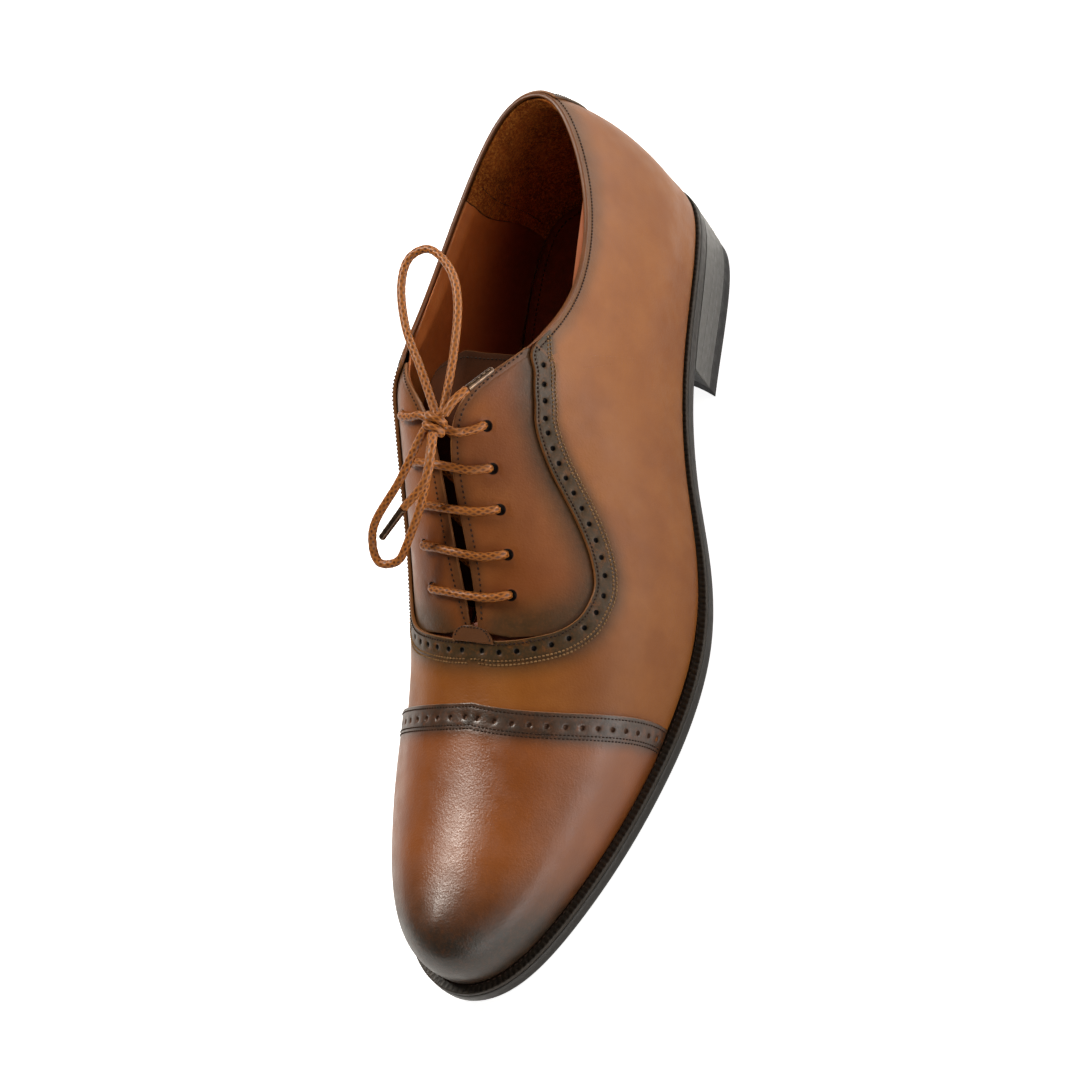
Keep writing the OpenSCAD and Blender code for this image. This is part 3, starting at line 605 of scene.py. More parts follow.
def upper_body():
    inner = np.vstack([BAND_INNER, mirrored(BAND_INNER)[1:]])
    outer = np.vstack([BODY_OUTER, mirrored(BODY_OUTER)[1:]])
    curve = catmull(inner, 24)
    far = catmull(outer, 24)
    far[:, 1] = np.clip(far[:, 1], 0.0, 1.0)
    s = lengths(wall(SHOE, curve[:, 0], curve[:, 1]))
    top = [s[np.argmin(abs(curve[:, 0] - u))] for u in (BAND_STOP, NET - BAND_STOP)]
    cell = 0.5
    n1, n2 = int(top[0]/cell), int((s[-1] - top[1])/cell)
    mid = np.linspace(n1*cell, s[-1] - n2*cell, 240)
    at = np.r_[np.arange(n1)*cell, mid, s[-1] - np.arange(n2)[:0:-1]*cell]
    u0, h0 = (np.interp(at, s, q) for q in curve.T)
    uf, hf = (np.interp(at, s, q) for q in far.T)
    guide = np.r_[0, 0.15, 0.45, 0.9 + 0.5*np.arange(25)]
    u, h = flow(SHOE, u0, np.clip(h0, 0, 1), guide[1:])
    u, h, p, b = fill(u, h, uf, hf, guide, 48, 0)
    run = np.minimum(at, s[-1] - at)
    stop = np.where(at < s[-1]/2, top[0], s[-1] - top[1])
    ends = []
    for first, back in ((int(np.argmin(abs(at - top[0]))), -1), (int(np.argmin(abs(at - top[1]))), 1)):
        corner = p[0, first]
        ends.append((corner, unit(corner - p[0, first + 26*back])))
    for side, (corner, ahead) in enumerate(ends):
        v = p - corner
        along = v @ ahead
        aside = np.linalg.norm(v - along[..., None]*ahead, axis=-1)
        past = (at > top[0]) & (at < s[-1]/2) if side == 0 else (at < top[1]) & (at > s[-1]/2)
        near = past[None] & (along > -14) & (np.abs(along) < 24) & (b < 24)
        b_line = np.where(near, aside, b if side == 0 else b_line)
    in_band = np.maximum(1 - smooth(stop - 1, stop + 1, run) + 0*b, (b_line != b)*1.0)
    foot = np.linalg.norm(p - spline(bottom_net, u), axis=-1)
    ripple = wander(p, 26, 3)
    burn = in_band*(1 - smooth(BAND_WIDTH - 0.4, BAND_WIDTH + 6 + 2*ripple, b_line)**0.6)
    burn = np.maximum(burn, (1 - smooth(stop - 1, stop + 1, stop*2 - run))*(
        1 - smooth(0.5, 13 + 4*ripple, b))*0.62)
    # Darker near the welt: up to 0.12 on the outer side and 0.4 on the inner side.
    outer_foot = np.where(u < HEEL_ROW, 0.12, 0.4)
    burn = np.maximum(burn, outer_foot*(1 - smooth(0.5, 9, foot)))
    bands = in_band*(1 - smooth(BAND_WIDTH - 0.2, BAND_WIDTH + 0.4, b_line))
    groove = grooves(b_line, (0.9, BAND_WIDTH - 0.3, BAND_WIDTH + 1.0))
    lift = -0.08*groove*in_band - 0.08*np.exp(-((b - 2.0)/0.5)**2)*(run > stop)
    vamp = np.exp(-((p[..., 1] + 182)/22)**2)*smooth(10, 26, foot)
    lift = lift + vamp*(0.35*np.sin((p[..., 1] - 0.25*p[..., 0])/5.2)*wander(p, 30, 5))
    lift = lift + 0.16*wander(p, 38, 8)*smooth(8, 20, b)*smooth(4, 14, foot)
    lift = lift + FOOT_SWELL*(1 - smooth(0, 16, foot))*(u < HEEL_ROW)
    points, n = leather(u, h, 0, lift)
    sheet = Sheet(points, n, LEATHER, {"burn": burn, "band": bands}, ring=True, soft=0.28)
    row = int(np.argmin(abs(guide - HOLE_ROW)))
    for side, count in ((1, int((top[0] - 4)/HOLE_PITCH)), (-1, int((s[-1] - top[1] - 4)/HOLE_PITCH))):
        for q in range(count):
            d = (q + 0.5)*HOLE_PITCH
            x = d if side > 0 else s[-1] - d
            sheet.punch(row, int(np.argmin(abs(at - x))), HOLE_RADIUS)
    obj = sheet.build("upper_leather")
    rows = []
    outer_rows = []

    def run_at(dist, first, last):
        return row_at(u, h, guide, dist, (at >= first) & (at <= last))

    for dist in (0.95, BAND_WIDTH - 0.3, BAND_WIDTH + 1.0):
        for first, last, where, (corner, ahead) in ((0, top[0] - 1, -1, ends[0]),
                                                    (top[1] + 1, s[-1], 0, ends[1])):
            line, across = unbroken(*run_at(dist, first, last))
            more, sides = run_on(SHOE, line[where], across[where], ahead)
            if where:
                line, across = np.vstack([line, more]), np.vstack([across, sides])
            else:
                line, across = np.vstack([more[::-1], line]), np.vstack([sides[::-1], across])
            (rows if dist < BAND_WIDTH - 1 else outer_rows).append(stitch_row(line, across, thick=0.6))
    rows.append(stitch_row(*run_at(1.9, top[0] - 2, top[1] + 2), pitch=1.3, thick=0.6))
    return obj, thread("upper_stitches", rows), thread("band_stitches", outer_rows)


def toe_cap():
    n = 150
    cell, cols = [], []
    for w0, w1 in ((FOOT_EDGE, 1), (1, 2 - FOOT_EDGE)):
        w = np.linspace(w0, w1, 400)
        u, h = chart(cap_row(w), w)
        if w0 == 1:
            u = np.where(w == 1, NET - cap_row(w), u)
        s = lengths(wall(SHOE, u, h))
        cols.append(np.interp(np.linspace(0, s[-1], n + 1), s, w))
        cell.append(s[-1]/n)
    w = np.r_[cols[0], cols[1][1:]]
    u0, h0 = chart(cap_row(w), w)
    guide = np.r_[0, 0.15, 0.45, 0.9 + 0.5*np.arange(24)]
    u, h = flow(SHOE, u0, h0, guide[1:], turn=-1)
    h[:, n] = 1
    rank = np.r_[np.linspace(FOOT_EDGE, 1, n + 1), np.linspace(1, FOOT_EDGE, n + 1)[1:]]
    end = np.where(np.arange(2*n + 1) <= n, 0, NET)
    u, h, p, b = fill(u, h, end, rank, guide, 60, n)
    foot = np.linalg.norm(p - spline(bottom_net, u), axis=-1)
    band = 1 - smooth(CAP_FRONT - 0.3, CAP_FRONT + 0.4, b)
    burn = 0.9*(1 - smooth(CAP_FRONT - 0.6, CAP_FRONT + 5, b)**0.6)
    burn = np.maximum(burn, toe_burn(p))
    # Darker near the welt, up to 0.25.
    burn = np.maximum(burn, 0.25*(1 - smooth(1, 8, foot)))
    seams = (1.0, CAP_FRONT - 1.2, CAP_FRONT)
    lift = CAP_TOP - 0.07*grooves(b, seams) + 0.1*wander(p, 34, 21)*smooth(9, 20, b)*smooth(2, 10, foot)
    points, normals = leather(u, h, 0, lift)
    sheet = Sheet(points, normals, CAP_TOP - CAP_LOW, {"burn": burn, "band": band}, fold=True)
    row = int(np.argmin(abs(guide - CAP_HOLE_ROW)))
    for q in range(40):
        for side in (1, -1):
            d = (q + 0.5)*HOLE_PITCH
            j = n - side*int(round(d/cell[0 if side > 0 else 1]))
            if 8 < j < 2*n - 8:
                sheet.punch(row, j, HOLE_RADIUS)
    rows = [stitch_row(*row_at(u, h, guide, dist, slice(3, -3), CAP_TOP)) for dist in seams]
    return sheet.build("toe_cap_leather"), thread("toe_cap_stitches", rows)


def facing(name, a, b, holes):
    throat, outer = catmull(b, 20), catmull(a, 20)
    outer = outer[np.linspace(0, len(outer) - 1, len(throat)).round().astype(int)]
    s = lengths(wall(SHOE, throat[:, 0], np.clip(throat[:, 1], 0, 1)))
    at = np.linspace(0, s[-1], int(s[-1]/0.6))
    ub, hb = (np.interp(at, s, q) for q in throat.T)
    ua, ha = (np.interp(at, s, q) for q in outer.T)
    t = np.linspace(0, 1, 60)[:, None]
    u, h = mix(ub, ua, t), np.clip(mix(hb, ha, t), 0, 1)
    spots = []
    for hu, hh in holes:
        target = wall(SHOE, np.array(hu), np.array(hh))
        p = wall(SHOE, u, h)
        d = np.linalg.norm(p - target, axis=-1)
        i, j = np.unravel_index(np.argmin(d), d.shape)
        pull = np.exp(-(d/5)**2)
        u = u + (hu - u[i, j])*pull
        h = np.clip(h + (hh - h[i, j])*pull, 0, 1)
        spots.append((i, j))
    p = wall(SHOE, u, h)
    rim = np.minimum(np.linalg.norm(p - p[-1], axis=-1), nearest(p, p[-1, ::4]))
    throat_far = nearest(p, p[0, ::4])
    burn = 0.85*(1 - smooth(4, 17 + 3*wander(p, 30, 31), rim))
    burn = np.maximum(burn, 0.55*(1 - smooth(0.5, 6, throat_far)))
    lift = -0.07*np.exp(-((throat_far - 2.2)/0.35)**2) + 0.12*wander(p, 24, 33)
    points, n = leather(u, h, FACING_TOP, lift)
    sheet = Sheet(points, n, FACING_TOP - FACING_LOW, {"burn": burn, "band": 0*burn}, soft=0.35)
    for i, j in spots:
        if 4 < i < u.shape[0] - 4 and 4 < j < u.shape[1] - 4:
            sheet.punch(i, j, LACE_HOLE_RADIUS, half=3, depth=1.0, dish=0.2)
    rows = [stitch_row(points[4, 6:-3], n[4, 6:-3], pitch=1.8, thick=0.6)]
    return sheet.build(name), thread(name + "_stitches", rows)


# ---------------------------------------------------------------- upper: small pieces
def throat_tab():
    """Half-moon tab that locks the foot of the throat."""
    t = np.linspace(0, 1, 26)
    k = mix(5.36, 5.55, t)
    half = 0.09*np.sqrt(np.clip(1 - t**2.2, 0.004, 1))
    w = 1 + half[:, None]*np.linspace(-1, 1, 61)[None]
    u, h = chart(k[:, None], w)
    n = normal(INSTEP, u, h)
    crown = 0.25*(1 - np.linspace(-1, 1, 61)**2)
    p = wall(INSTEP, u, h) + n*(0.85 + crown)[..., None]
    sheet = Sheet(p, n, 0.9, {"burn": np.full(u.shape, 0.4), "band": 0*u})
    seam = (np.vstack([q[2:22, 4], q[22, 5:56], q[21:1:-1, 56]]) for q in (p, n))
    obj = sheet.build("throat_tab_leather")
    return obj, thread("throat_tab_stitches", [stitch_row(*seam, pitch=1.2)])


def back_strip():
    t = np.linspace(0, 1, 60)[:, None]
    x = np.linspace(-1, 1, 31)[None]
    u = 13 + x*mix(0.22, 0.6, t**0.7)
    h = mix(0.44, 0.985, t) + 0*x
    n = normal(SHOE, u, h)
    crown = 0.95 + 0.25*(1 - x**2) + 0*t
    p = wall(SHOE, u, h) + n*crown[..., None]
    sheet = Sheet(p, n, 0.9, {"burn": np.full(u.shape, 1.0), "band": 0*u + 0.6})
    rows = [stitch_row(p[2:-2, j], n[2:-2, j]) for j in (3, 27)]
    rows.append(stitch_row(p[3, 4:27], n[3, 4:27]))
    return sheet.build("back_strip_leather"), thread("back_strip_stitches", rows)


def topline_binding():
    """Rolled bead along the edge of the opening."""
    us = np.linspace(9.12, NET - 9.12, 460)
    size = smooth(9.1, 9.5, np.minimum(us, NET - us))
    p = wall(SHOE, us, np.ones(len(us)))
    n = normal(SHOE, us, np.ones(len(us)))
    n = unit(n*[1, 1, 0.15])
    t = unit(np.gradient(p, axis=0))
    up = unit(np.cross(n, t))
    up = np.where(up[:, 2:] < 0, -up, up)
    prof = []
    for a in np.linspace(0, 2*pi, 24, endpoint=False):
        x = np.sign(cos(a))*abs(cos(a))**0.8
        y = np.sign(sin(a))*abs(sin(a))**0.8
        prof.append((x, y))
    rings = np.stack([p + n*(-0.75 + mix(0.3, 0.82, size)*x)[:, None]
                      + up*(0.05 + mix(0.15, 0.55, size)*y)[:, None] for x, y in prof], 1)
    burn = np.full(rings.shape[:2], 0.25)
    return loft("topline_bead", rings, attrs={"burn": burn, "band": 0*burn})


def quarter_lining(side):
    """Half of the lining; its top edge closes the gap to the facing and the binding."""
    k = np.linspace(5.62, 11.12, 150)[:, None]
    h = np.linspace(0.02, 0.99, 60)[None]
    u, h = np.broadcast_arrays(NET - k if side == "medial" else k, h)
    meet = mix(-2.85, -1.45, smooth(9.15, 9.6, k))
    lift = 0.12*wander(wall(SHOE, u, h), 22, 41) + (meet - LINING_TOP)*smooth(0.92, 0.99, h)
    p, n = leather(u, h, LINING_TOP, lift)
    # Painted shade: lower values paint the lining darker; they fall towards the bottom, and on the
    # outer side they are lower all over.
    shade = h if side == "medial" else 0.35*h
    sheet = Sheet(p, n, LINING_TOP - LINING_LOW, {"deep_tone_and_shade": shade}, back=60)
    return sheet.build("quarter_lining_%s_leather" % side)


def heel_grip():
    u = np.linspace(11.14, NET - 11.14, 240)[:, None]
    h = np.linspace(0.02, 0.99, 110)[None]
    u, h = np.broadcast_arrays(u, h)
    g = np.random.default_rng(4)
    rough = g.normal(size=u.shape)*0.13
    lift = 0.1*wander(wall(SHOE, u, h), 12, 43) + (-1.4 - LINING_TOP)*smooth(0.92, 0.99, h)
    p, n = leather(u, h, LINING_TOP, lift)
    inner = p - n*(LINING_TOP - LINING_LOW) + n*rough[..., None]
    sheet = Sheet(inner, -n, LINING_TOP - LINING_LOW, {"deep_tone_and_shade": h}, back=20)
    rows = []
    for uu in (11.32, NET - 11.32):
        hs = np.linspace(0.1, 0.97, 60)
        q = skin(SHOE, np.full(60, uu), hs, np.full(60, LINING_LOW))
        rows.append(stitch_row(q, -normal(SHOE, np.full(60, uu), hs), thick=0.36))
    return sheet.build("heel_grip_suede"), thread("lining_stitches", rows)


def vamp_lining():
    k = np.linspace(0.02, 5.56, 80)[:, None]
    w = np.linspace(0.04, 1.96, 81)[None]
    u, h = chart(k, w)
    p, n = leather(u, h, LINING_TOP)
    # Painted shade: a value of 0 paints the whole vamp lining in the lining's shade colour.
    sheet = Sheet(p[::-1], n[::-1], LINING_TOP - LINING_LOW, {"deep_tone_and_shade": 0*u}, back=80)
    return sheet.build("vamp_lining_leather")


TONGUE_ROWS, TONGUE_COLS = 70, 61


def tongue_grid(off, trim):
    n, m = TONGUE_ROWS, TONGUE_COLS
    t = np.linspace(0, 1, n)[:, None]
    k = mix(5.72, 9.2 - trim, t)
    half = mix(0.16, 0.4, t**0.8) - 0.035*(np.clip(t - 0.9, 0, 1)/0.1)**2 - trim
    x = np.linspace(-1, 1, m)[None]
    u, h = chart(k + 0*x, 1 + half*x*np.where(x > 0, mix(1, 1.5, t), 1))
    base = normal(INSTEP, k[:, 0], np.ones(n))[:, None]
    p = wall(INSTEP, u, h) - 3*normal(INSTEP, u, h) + base*(off + 3)
    return p, np.broadcast_to(base, p.shape).copy()


def tongue_pieces():
    p, n = tongue_grid(TONGUE_TOP, 0)
    wave = 0.35*wander(p, 16, 51) + 0.25*np.sin(p[..., 1]/4.3)*np.exp(-((p[..., 1] + 92)/16)**2)
    p = p + n*wave[..., None]
    edge_far = np.arange(TONGUE_ROWS)[::-1, None]*1.4 + np.zeros(TONGUE_COLS)
    burn = 0.25 + 0.4*(1 - smooth(2, 14, edge_far))
    sheet = Sheet(p[::-1], n[::-1], 1.1, {"burn": burn[::-1], "band": 0*burn}, soft=0.35, back=70)
    top = sheet.build("tongue_leather")
    seam = (np.vstack([q[6:67, 2], q[67, 3:58], q[66:5:-1, 58]]) for q in (p, n))
    stitches = thread("tongue_stitches", [stitch_row(*seam, thick=0.6)])
    q, m = tongue_grid(TONGUE_LOW - 0.5, 0.01)
    # Painted shade: 0.5 paints the tongue lining part way to the lining's shade colour.
    low = Sheet(q[::-1], m[::-1], 0.8, {"deep_tone_and_shade": 0*burn + 0.5}, back=70)
    return top, stitches, low.build("tongue_lining_leather")


# ---------------------------------------------------------------- sole and heel
def crosswise(k):
    return 0.5*(1 - np.cos(pi*k))


def plate(name, k0, k1, n, low_to_top, middle=14):
    """Plate under the foot: an edge profile of (out, up), carried between rows k0 and k1."""
    k = mix(k0, k1, crosswise(np.linspace(0, 1, n)))
    side_a, side_b = ([edge(u, out(u) if callable(out) else np.full(n, out), np.full(n, up))
                       for out, up in low_to_top] for u in (k, NET - k))
    x = np.linspace(0, 1, middle + 2)[1:-1]
    top = [mix(side_a[-1], side_b[-1], t) for t in x]
    low = [mix(side_b[0], side_a[0], t) for t in x]
    return loft(name, np.stack(side_a + top + side_b[::-1] + low, 1))


def outsole():
    def out(d):
        return lambda u: reach(u) + d

    prof = [(out(-1.4), SOLE_LOW), (out(-0.75), SOLE_LOW + 0.06), (out(-0.3), SOLE_LOW + 0.35),
            (out(0.0), SOLE_LOW + 0.95), (out(0.12), SOLE_LOW + 1.9), (out(0.16), SOLE_LOW + 3),
            (out(0.12), SOLE_LOW + 4), (out(0.02), SOLE_TOP - 0.3), (out(-0.25), SOLE_TOP)]
    return plate("outsole_rubber", 0.004, 12.985, 420, prof, middle=20)


WELT_STITCH = 2.1


def welt():
    n = 1800
    u = np.linspace(0, NET, n, endpoint=False)
    r = reach(u)
    p = edge(u, r, np.zeros(n))
    s = lengths(np.vstack([p, p[:1]]))[:-1]
    notch = np.exp(-((((s/WELT_STITCH) % 1) - 0.5)/0.17)**2)
    prof = [(-7, WELT_LOW, 0), (-0.4, WELT_LOW, 0), (-0.08, WELT_LOW + 0.2, 0),
            (0.0, WELT_LOW + 0.7, 0), (0.0, WELT_TOP - 0.6, 0), (-0.12, WELT_TOP - 0.2, 0.15),
            (-0.4, WELT_TOP, 0.7), (-0.8, WELT_TOP, 1), (-1.5, WELT_TOP, 1), (-1.95, WELT_TOP, 0.6),
            (-2.3, WELT_TOP, 0.0), (-3.4, WELT_TOP - 0.15, 0), (-7, WELT_TOP - 0.1, 0)]
    rings = np.stack([edge(u, (r + o) if o > -6.5 else np.full(n, o), z - 0.34*d*notch)
                      for o, z, d in prof], 1)
    # Pit mask of the notches: the paint puts painted shade in them.
    notch_shade = np.stack([0.5*d*notch for _, _, d in prof], 1)
    obj = loft("welt_leather_strip", rings, ring=True, attrs={"pit_shade": notch_shade})
    path = edge(u, r - 2.9, np.full(n, WELT_TOP))
    front = np.minimum(u, NET - u) < 8.6
    rows = [stitch_row(q, np.broadcast_to(UP, q.shape), pitch=WELT_STITCH, length=1.6, thick=0.6)
            for q in (path[front & (u < HEEL_ROW)], path[front & (u >= HEEL_ROW)])]
    return obj, thread("welt_stitches", rows)


HEEL_INSET, HEEL_HEIGHT = 1.4, 23
BREAST_RADIUS = 58


def heel_plan(z):
    """Outline of the heel at height z, breast included."""
    u = np.linspace(8.8, NET - 8.8, 900)
    out = reach(u) + 0.3 - HEEL_INSET*(1 - z/HEEL_HEIGHT)
    p = edge(u, out, np.zeros(len(u)))[:, :2]
    centre = np.array([2, -27.5 - BREAST_RADIUS])
    keep = np.linalg.norm(p - centre, axis=1) > BREAST_RADIUS
    row = np.minimum(u, NET - u) > 9.0
    p = p[keep & row]
    a0 = np.arctan2(*(p[-1] - centre)[::-1])
    a1 = np.arctan2(*(p[0] - centre)[::-1])
    a = np.linspace(a0, a1, 60)[1:-1]
    arc = centre + BREAST_RADIUS*np.stack([np.cos(a), np.sin(a)], 1)
    side = resample(p, np.linspace(0, lengths(p)[-1], 260))
    return np.vstack([side, arc])


def seat_height(y):
    k = np.linspace(9, 13, 200)
    q = edge(k, np.zeros(200), np.zeros(200))
    order = np.argsort(q[:, 1])
    return np.interp(y, q[order, 1], q[order, 2]) + SOLE_LOW - GAP


def heel_block(name, z0, z1):
    rings = []
    levels = [(0, 0.16), (0.03, 0.05), (0.1, 0.01), (0.42, 0.0), (0.5, 0), (0.58, 0.0),
              (0.9, 0.01), (0.97, 0.05), (1, 0.16)]
    for t, inset in levels:
        plan = heel_plan(z0 if z1 is None else mix(z0, z1, t))
        c = plan.mean(0)
        d = unit(np.roll(plan, -1, 0) - np.roll(plan, 1, 0))
        nrm = np.stack([d[:, 1], -d[:, 0]], 1)
        nrm = nrm*np.sign(((plan - c)*nrm).sum(1).mean())
        q = plan - nrm*inset
        high = seat_height(q[:, 1]) if z1 is None else z1
        depth = np.where(t < 0.5, z0 + t, high - (1 - t)) if t != 0.5 else (z0 + high)/2
        rings.append(np.c_[q, np.broadcast_to(depth, len(q))])
    return loft(name, np.stack(rings))


# ---------------------------------------------------------------- laces
CORD = 2.8
BAR_SAG, TOP_BAR_SAG = 0.05, 0.13


def bar_end(u, h, sag):
    """From under the facing, up through the hole and on to the edge of the throat."""
    steps = [(0.045, -6.45, 0), (0.016, -5.35, 0), (0.008, -3.6, 0), (0.014, -2.0, 0),
             (0.022, -0.7, 0.1), (0.045, -0.05, 0.45)]
    run = [skin(SHOE, np.array(u + sag*f), np.array(h + d), o) for d, o, f in steps]
    run.append(skin(SHOE, np.array(u + sag*0.85), np.array(mix(h + 0.045, 1.0, 0.5)), 0.05))
    return run


def lace_path():
    points = []
    for i in range(5):
        a, b = HOLES_OUTER[i], HOLES_INNER[i]
        sag = BAR_SAG if i else TOP_BAR_SAG
        start = bar_end(a[0], a[1], -sag)
        end = bar_end(NET - b[0], b[1], sag)[::-1]
        left, right = (wall(SHOE, np.array(q), np.array(1.0)) for q in (a[0] - sag, NET - b[0] + sag))
        over = UP*(0.25 if i else 0.6)
        middle = [left + over, (left + right)/2 + over, right + over] if i == 0 \
            else [(left + right)/2 + over]
        points += start + middle + end
        if i < 4:
            k = (b[0] + HOLES_OUTER[i + 1][0])/2
            points.append(skin(INSTEP, np.array(k), np.array(1.0), -7.1))
    return catmull(points, 8)


LOOP_UP = [[-2.6, -106.4, 113], [-8, -93, 118], [-14, -80, 122], [-17, -66, 125.5],
           [-15.5, -56, 127], [-8, -53.5, 127.2], [1, -62, 126], [5, -74, 124],
           [4.5, -90, 119.5], [1.6, -107, 114.3]]
LOOP_DOWN = [[-6.4, -113.6, 111], [-16, -126, 104], [-28, -135, 95], [-32, -140, 88],
             [-30.5, -144.5, 84], [-24, -144.5, 84], [-19, -141, 88], [-10, -130, 98],
             [-4.4, -119, 107.6], [-3.4, -115.6, 110.2]]
END_FRONT = [[-0.6, -116, 113.6], [0.2, -122, 114], [-2, -131, 110.5], [-11, -138, 106]]
END_BACK = [[2.9, -110, 115], [6, -105.6, 116], [9, -101, 114.6]]
AGLET_FRONT = [[-11.3, -138.2, 105.8], [-22, -144, 98.5]]
AGLET_BACK = [[9.2, -100.6, 114.5], [14.5, -91.5, 110.5]]


def reach_in(path, amount=3.0):
    """Adds a short length to both ends of a path, so that a loop dives into the knot."""
    p = np.asarray(path, float)
    a = p[0] + unit(KNOT - p[0])*amount
    b = p[-1] + unit(KNOT - p[-1])*amount
    return np.vstack([a, p, b])


def knot_path():
    """The wrap of the knot: a turn and a half round the crossing cords."""
    t = np.linspace(-0.15, 1.5, 60)
    axis = unit(np.array([0.25, 1.0, 0.35]))
    e1 = unit(np.cross(axis, UP))
    e2 = np.cross(e1, axis)
    r = 2.45
    return (KNOT + e1*(r*np.cos(2*pi*t))[:, None]*1.15 + e2*(r*np.sin(2*pi*t))[:, None]
            + axis*(t - 0.7)[:, None]*3.2)


def aglet(name, ends):
    a, b = (np.array(q, float) for q in ends)
    d = unit(b - a)
    length = np.linalg.norm(b - a)
    s = np.r_[-0.02, 0.02, 0.06, np.linspace(0.3, 1, 30)*(length - 0.5), length - 0.2, length]
    r = 1.28 - 0.12*smooth(0, length, s)
    r[0], r[-1], r[-2] = 1.2, 0.8, 1.0
    wrap = 0.02*np.sin(2*pi*s/2.1)
    angle = 2*pi*np.arange(28)/28
    e1 = unit(np.cross(d, UP))
    e2 = np.cross(d, e1)
    rings = (a + d*s[:, None])[:, None] + ((r + wrap)[:, None]*np.cos(angle))[..., None]*e1 \
        + ((r + wrap)[:, None]*np.sin(angle))[..., None]*e2
    return loft(name, rings)


def finish(obj, paint, body, slot, *nodes):
    """Material, body and the CAD nodes that a piece stands for; the slot argument is not used."""
    obj.data.materials.clear()
    obj.data.materials.append(PAINT[paint])
    if body == "flex":
        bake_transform(obj)
    else:
        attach(obj, body)
    if nodes:
        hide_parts(*nodes)


# ---------------------------------------------------------------- materials
def srgb(r, g, b):
    return tuple(((c/255 + 0.055)/1.055)**2.4 if c > 10 else c/255/12.92 for c in (r, g, b)) + (1,)


class Paint:
    """Grows the node tree of one procedural material."""

    def __init__(self, name):
        self.mat = bpy.data.materials.new(name)
        self.mat.use_nodes = True
        self.tree = self.mat.node_tree
        self.bsdf = self.tree.nodes["Principled BSDF"]
        self.place = self.node("TexCoord").outputs["Object"]
        self.height = None

    def node(self, kind, ins=None, **props):
        n = self.tree.nodes.new("ShaderNode" + kind)
        for key, value in props.items():
            setattr(n, key, value)
        for key, value in (ins or {}).items():
            self.put(n.inputs[key], value)
        return n

    def put(self, socket, value):
        if isinstance(value, bpy.types.NodeSocket):
            self.tree.links.new(value, socket)
        else:
            socket.default_value = value

    def set(self, **values):
        for key, value in values.items():
            self.put(self.bsdf.inputs[key.replace("_", " ")], value)
        return self

    def noise(self, size, detail=3, rough=0.55, stretch=None):
        place = self.place
        if stretch:
            place = self.node("Mapping", {"Vector": place, "Scale": stretch}).outputs[0]
        return self.node("TexNoise", {"Vector": place, "Scale": 1/(size*MM), "Detail": detail,
                                      "Roughness": rough}).outputs["Fac"]

    def drift(self, size, detail=3, rough=0.55, a=0.0, b=1.0):
        """Cloudy noise that runs from a to b."""
        return self.remap(self.noise(size, detail, rough), 0.3, 0.7, a, b)

    def surface(self, base, size, detail, low, high, **more):
        """Base colour, and a roughness that drifts between low and high."""
        return self.set(Base_Color=base, Roughness=self.drift(size, detail, 0.55, low, high), **more)

    def cells(self, size):
        return self.node("TexVoronoi", {"Vector": self.place,
                                        "Scale": 1/(size*MM)}).outputs["Distance"]

    def remap(self, x, lo, hi, a=0.0, b=1.0):
        return self.node("MapRange", {"Value": x, "From Min": lo, "From Max": hi, "To Min": a,
                                      "To Max": b}, interpolation_type="SMOOTHSTEP").outputs[0]

    def math(self, op, a, b=0.0, clamp=False):
        n = self.node("Math", operation=op, use_clamp=clamp)
        self.put(n.inputs[0], a)
        self.put(n.inputs[1], b)
        return n.outputs[0]

    def attr(self, name):
        return self.node("Attribute", attribute_name=name).outputs["Fac"]

    def blend(self, fac, a, b):
        n = self.node("Mix", data_type="RGBA")
        self.put(n.inputs[0], fac)
        self.put(n.inputs[6], a)
        self.put(n.inputs[7], b)
        return n.outputs[2]

    def bump(self, height, depth):
        """Adds a bump whose full height is depth millimetres."""
        ins = {"Height": height, "Strength": 1.0, "Distance": depth*MM}
        if self.height is not None:
            ins["Normal"] = self.height
        self.height = self.node("Bump", ins).outputs[0]
        self.put(self.bsdf.inputs["Normal"], self.height)
        return self


PAINT = {}


def upper_paint(name, tan, deep_tone_and_shade, dark, rough=0.36, shine=0.25, shaded_pit_colour=(14, 9, 7)):
    """Hand-burnished calf: two tones of tan under a dark burnish, fine grain and pores."""
    m = Paint(name)
    cloud = m.drift(22)
    mottle = m.remap(m.noise(2.6, 4, 0.65), 0.25, 0.75)
    base = m.blend(cloud, tan, deep_tone_and_shade)
    base = m.blend(m.math("MULTIPLY", mottle, 0.28), base, deep_tone_and_shade)
    ragged = m.math("MULTIPLY", m.math("SUBTRACT", m.noise(5, 4, 0.6), 0.5), 0.5)
    burn = m.math("ADD", m.attr("burn"), m.math("MULTIPLY", ragged, m.attr("burn")), clamp=True)
    streak = m.noise(1.1, 3, 0.7)
    worn = m.math("MULTIPLY", burn, m.remap(streak, 0.25, 0.55, 0.8, 1.0))
    base = m.blend(worn, base, dark)
    rubbed = m.math("MULTIPLY", m.attr("band"), m.remap(m.noise(3.4, 4, 0.7), 0.52, 0.75, 0, 0.5))
    base = m.blend(rubbed, base, deep_tone_and_shade)
    raw = m.math("MULTIPLY", m.attr("edge"), 0.8)
    base = m.blend(raw, base, srgb(132, 84, 46))
    # Painted shade: pits (the bottoms of punched holes) take the pit colour, near black; on the cap it
    # is brown, the leather below seen through the hole, darkened as painted shade.
    base = m.blend(m.attr("pit_shade"), base, srgb(*shaded_pit_colour))
    gloss = m.drift(7, 3, 0.55, rough - 0.05, rough + 0.07)
    gloss = m.math("ADD", gloss, m.math("MULTIPLY", m.attr("pit_shade"), 0.4), clamp=True)
    m.set(Base_Color=base, Roughness=gloss, Specular_IOR_Level=shine)
    m.bump(m.noise(0.55, 3, 0.6), 0.07)
    m.bump(m.cells(0.9), 0.035)
    m.bump(m.noise(9, 2), 0.12)
    return m.mat


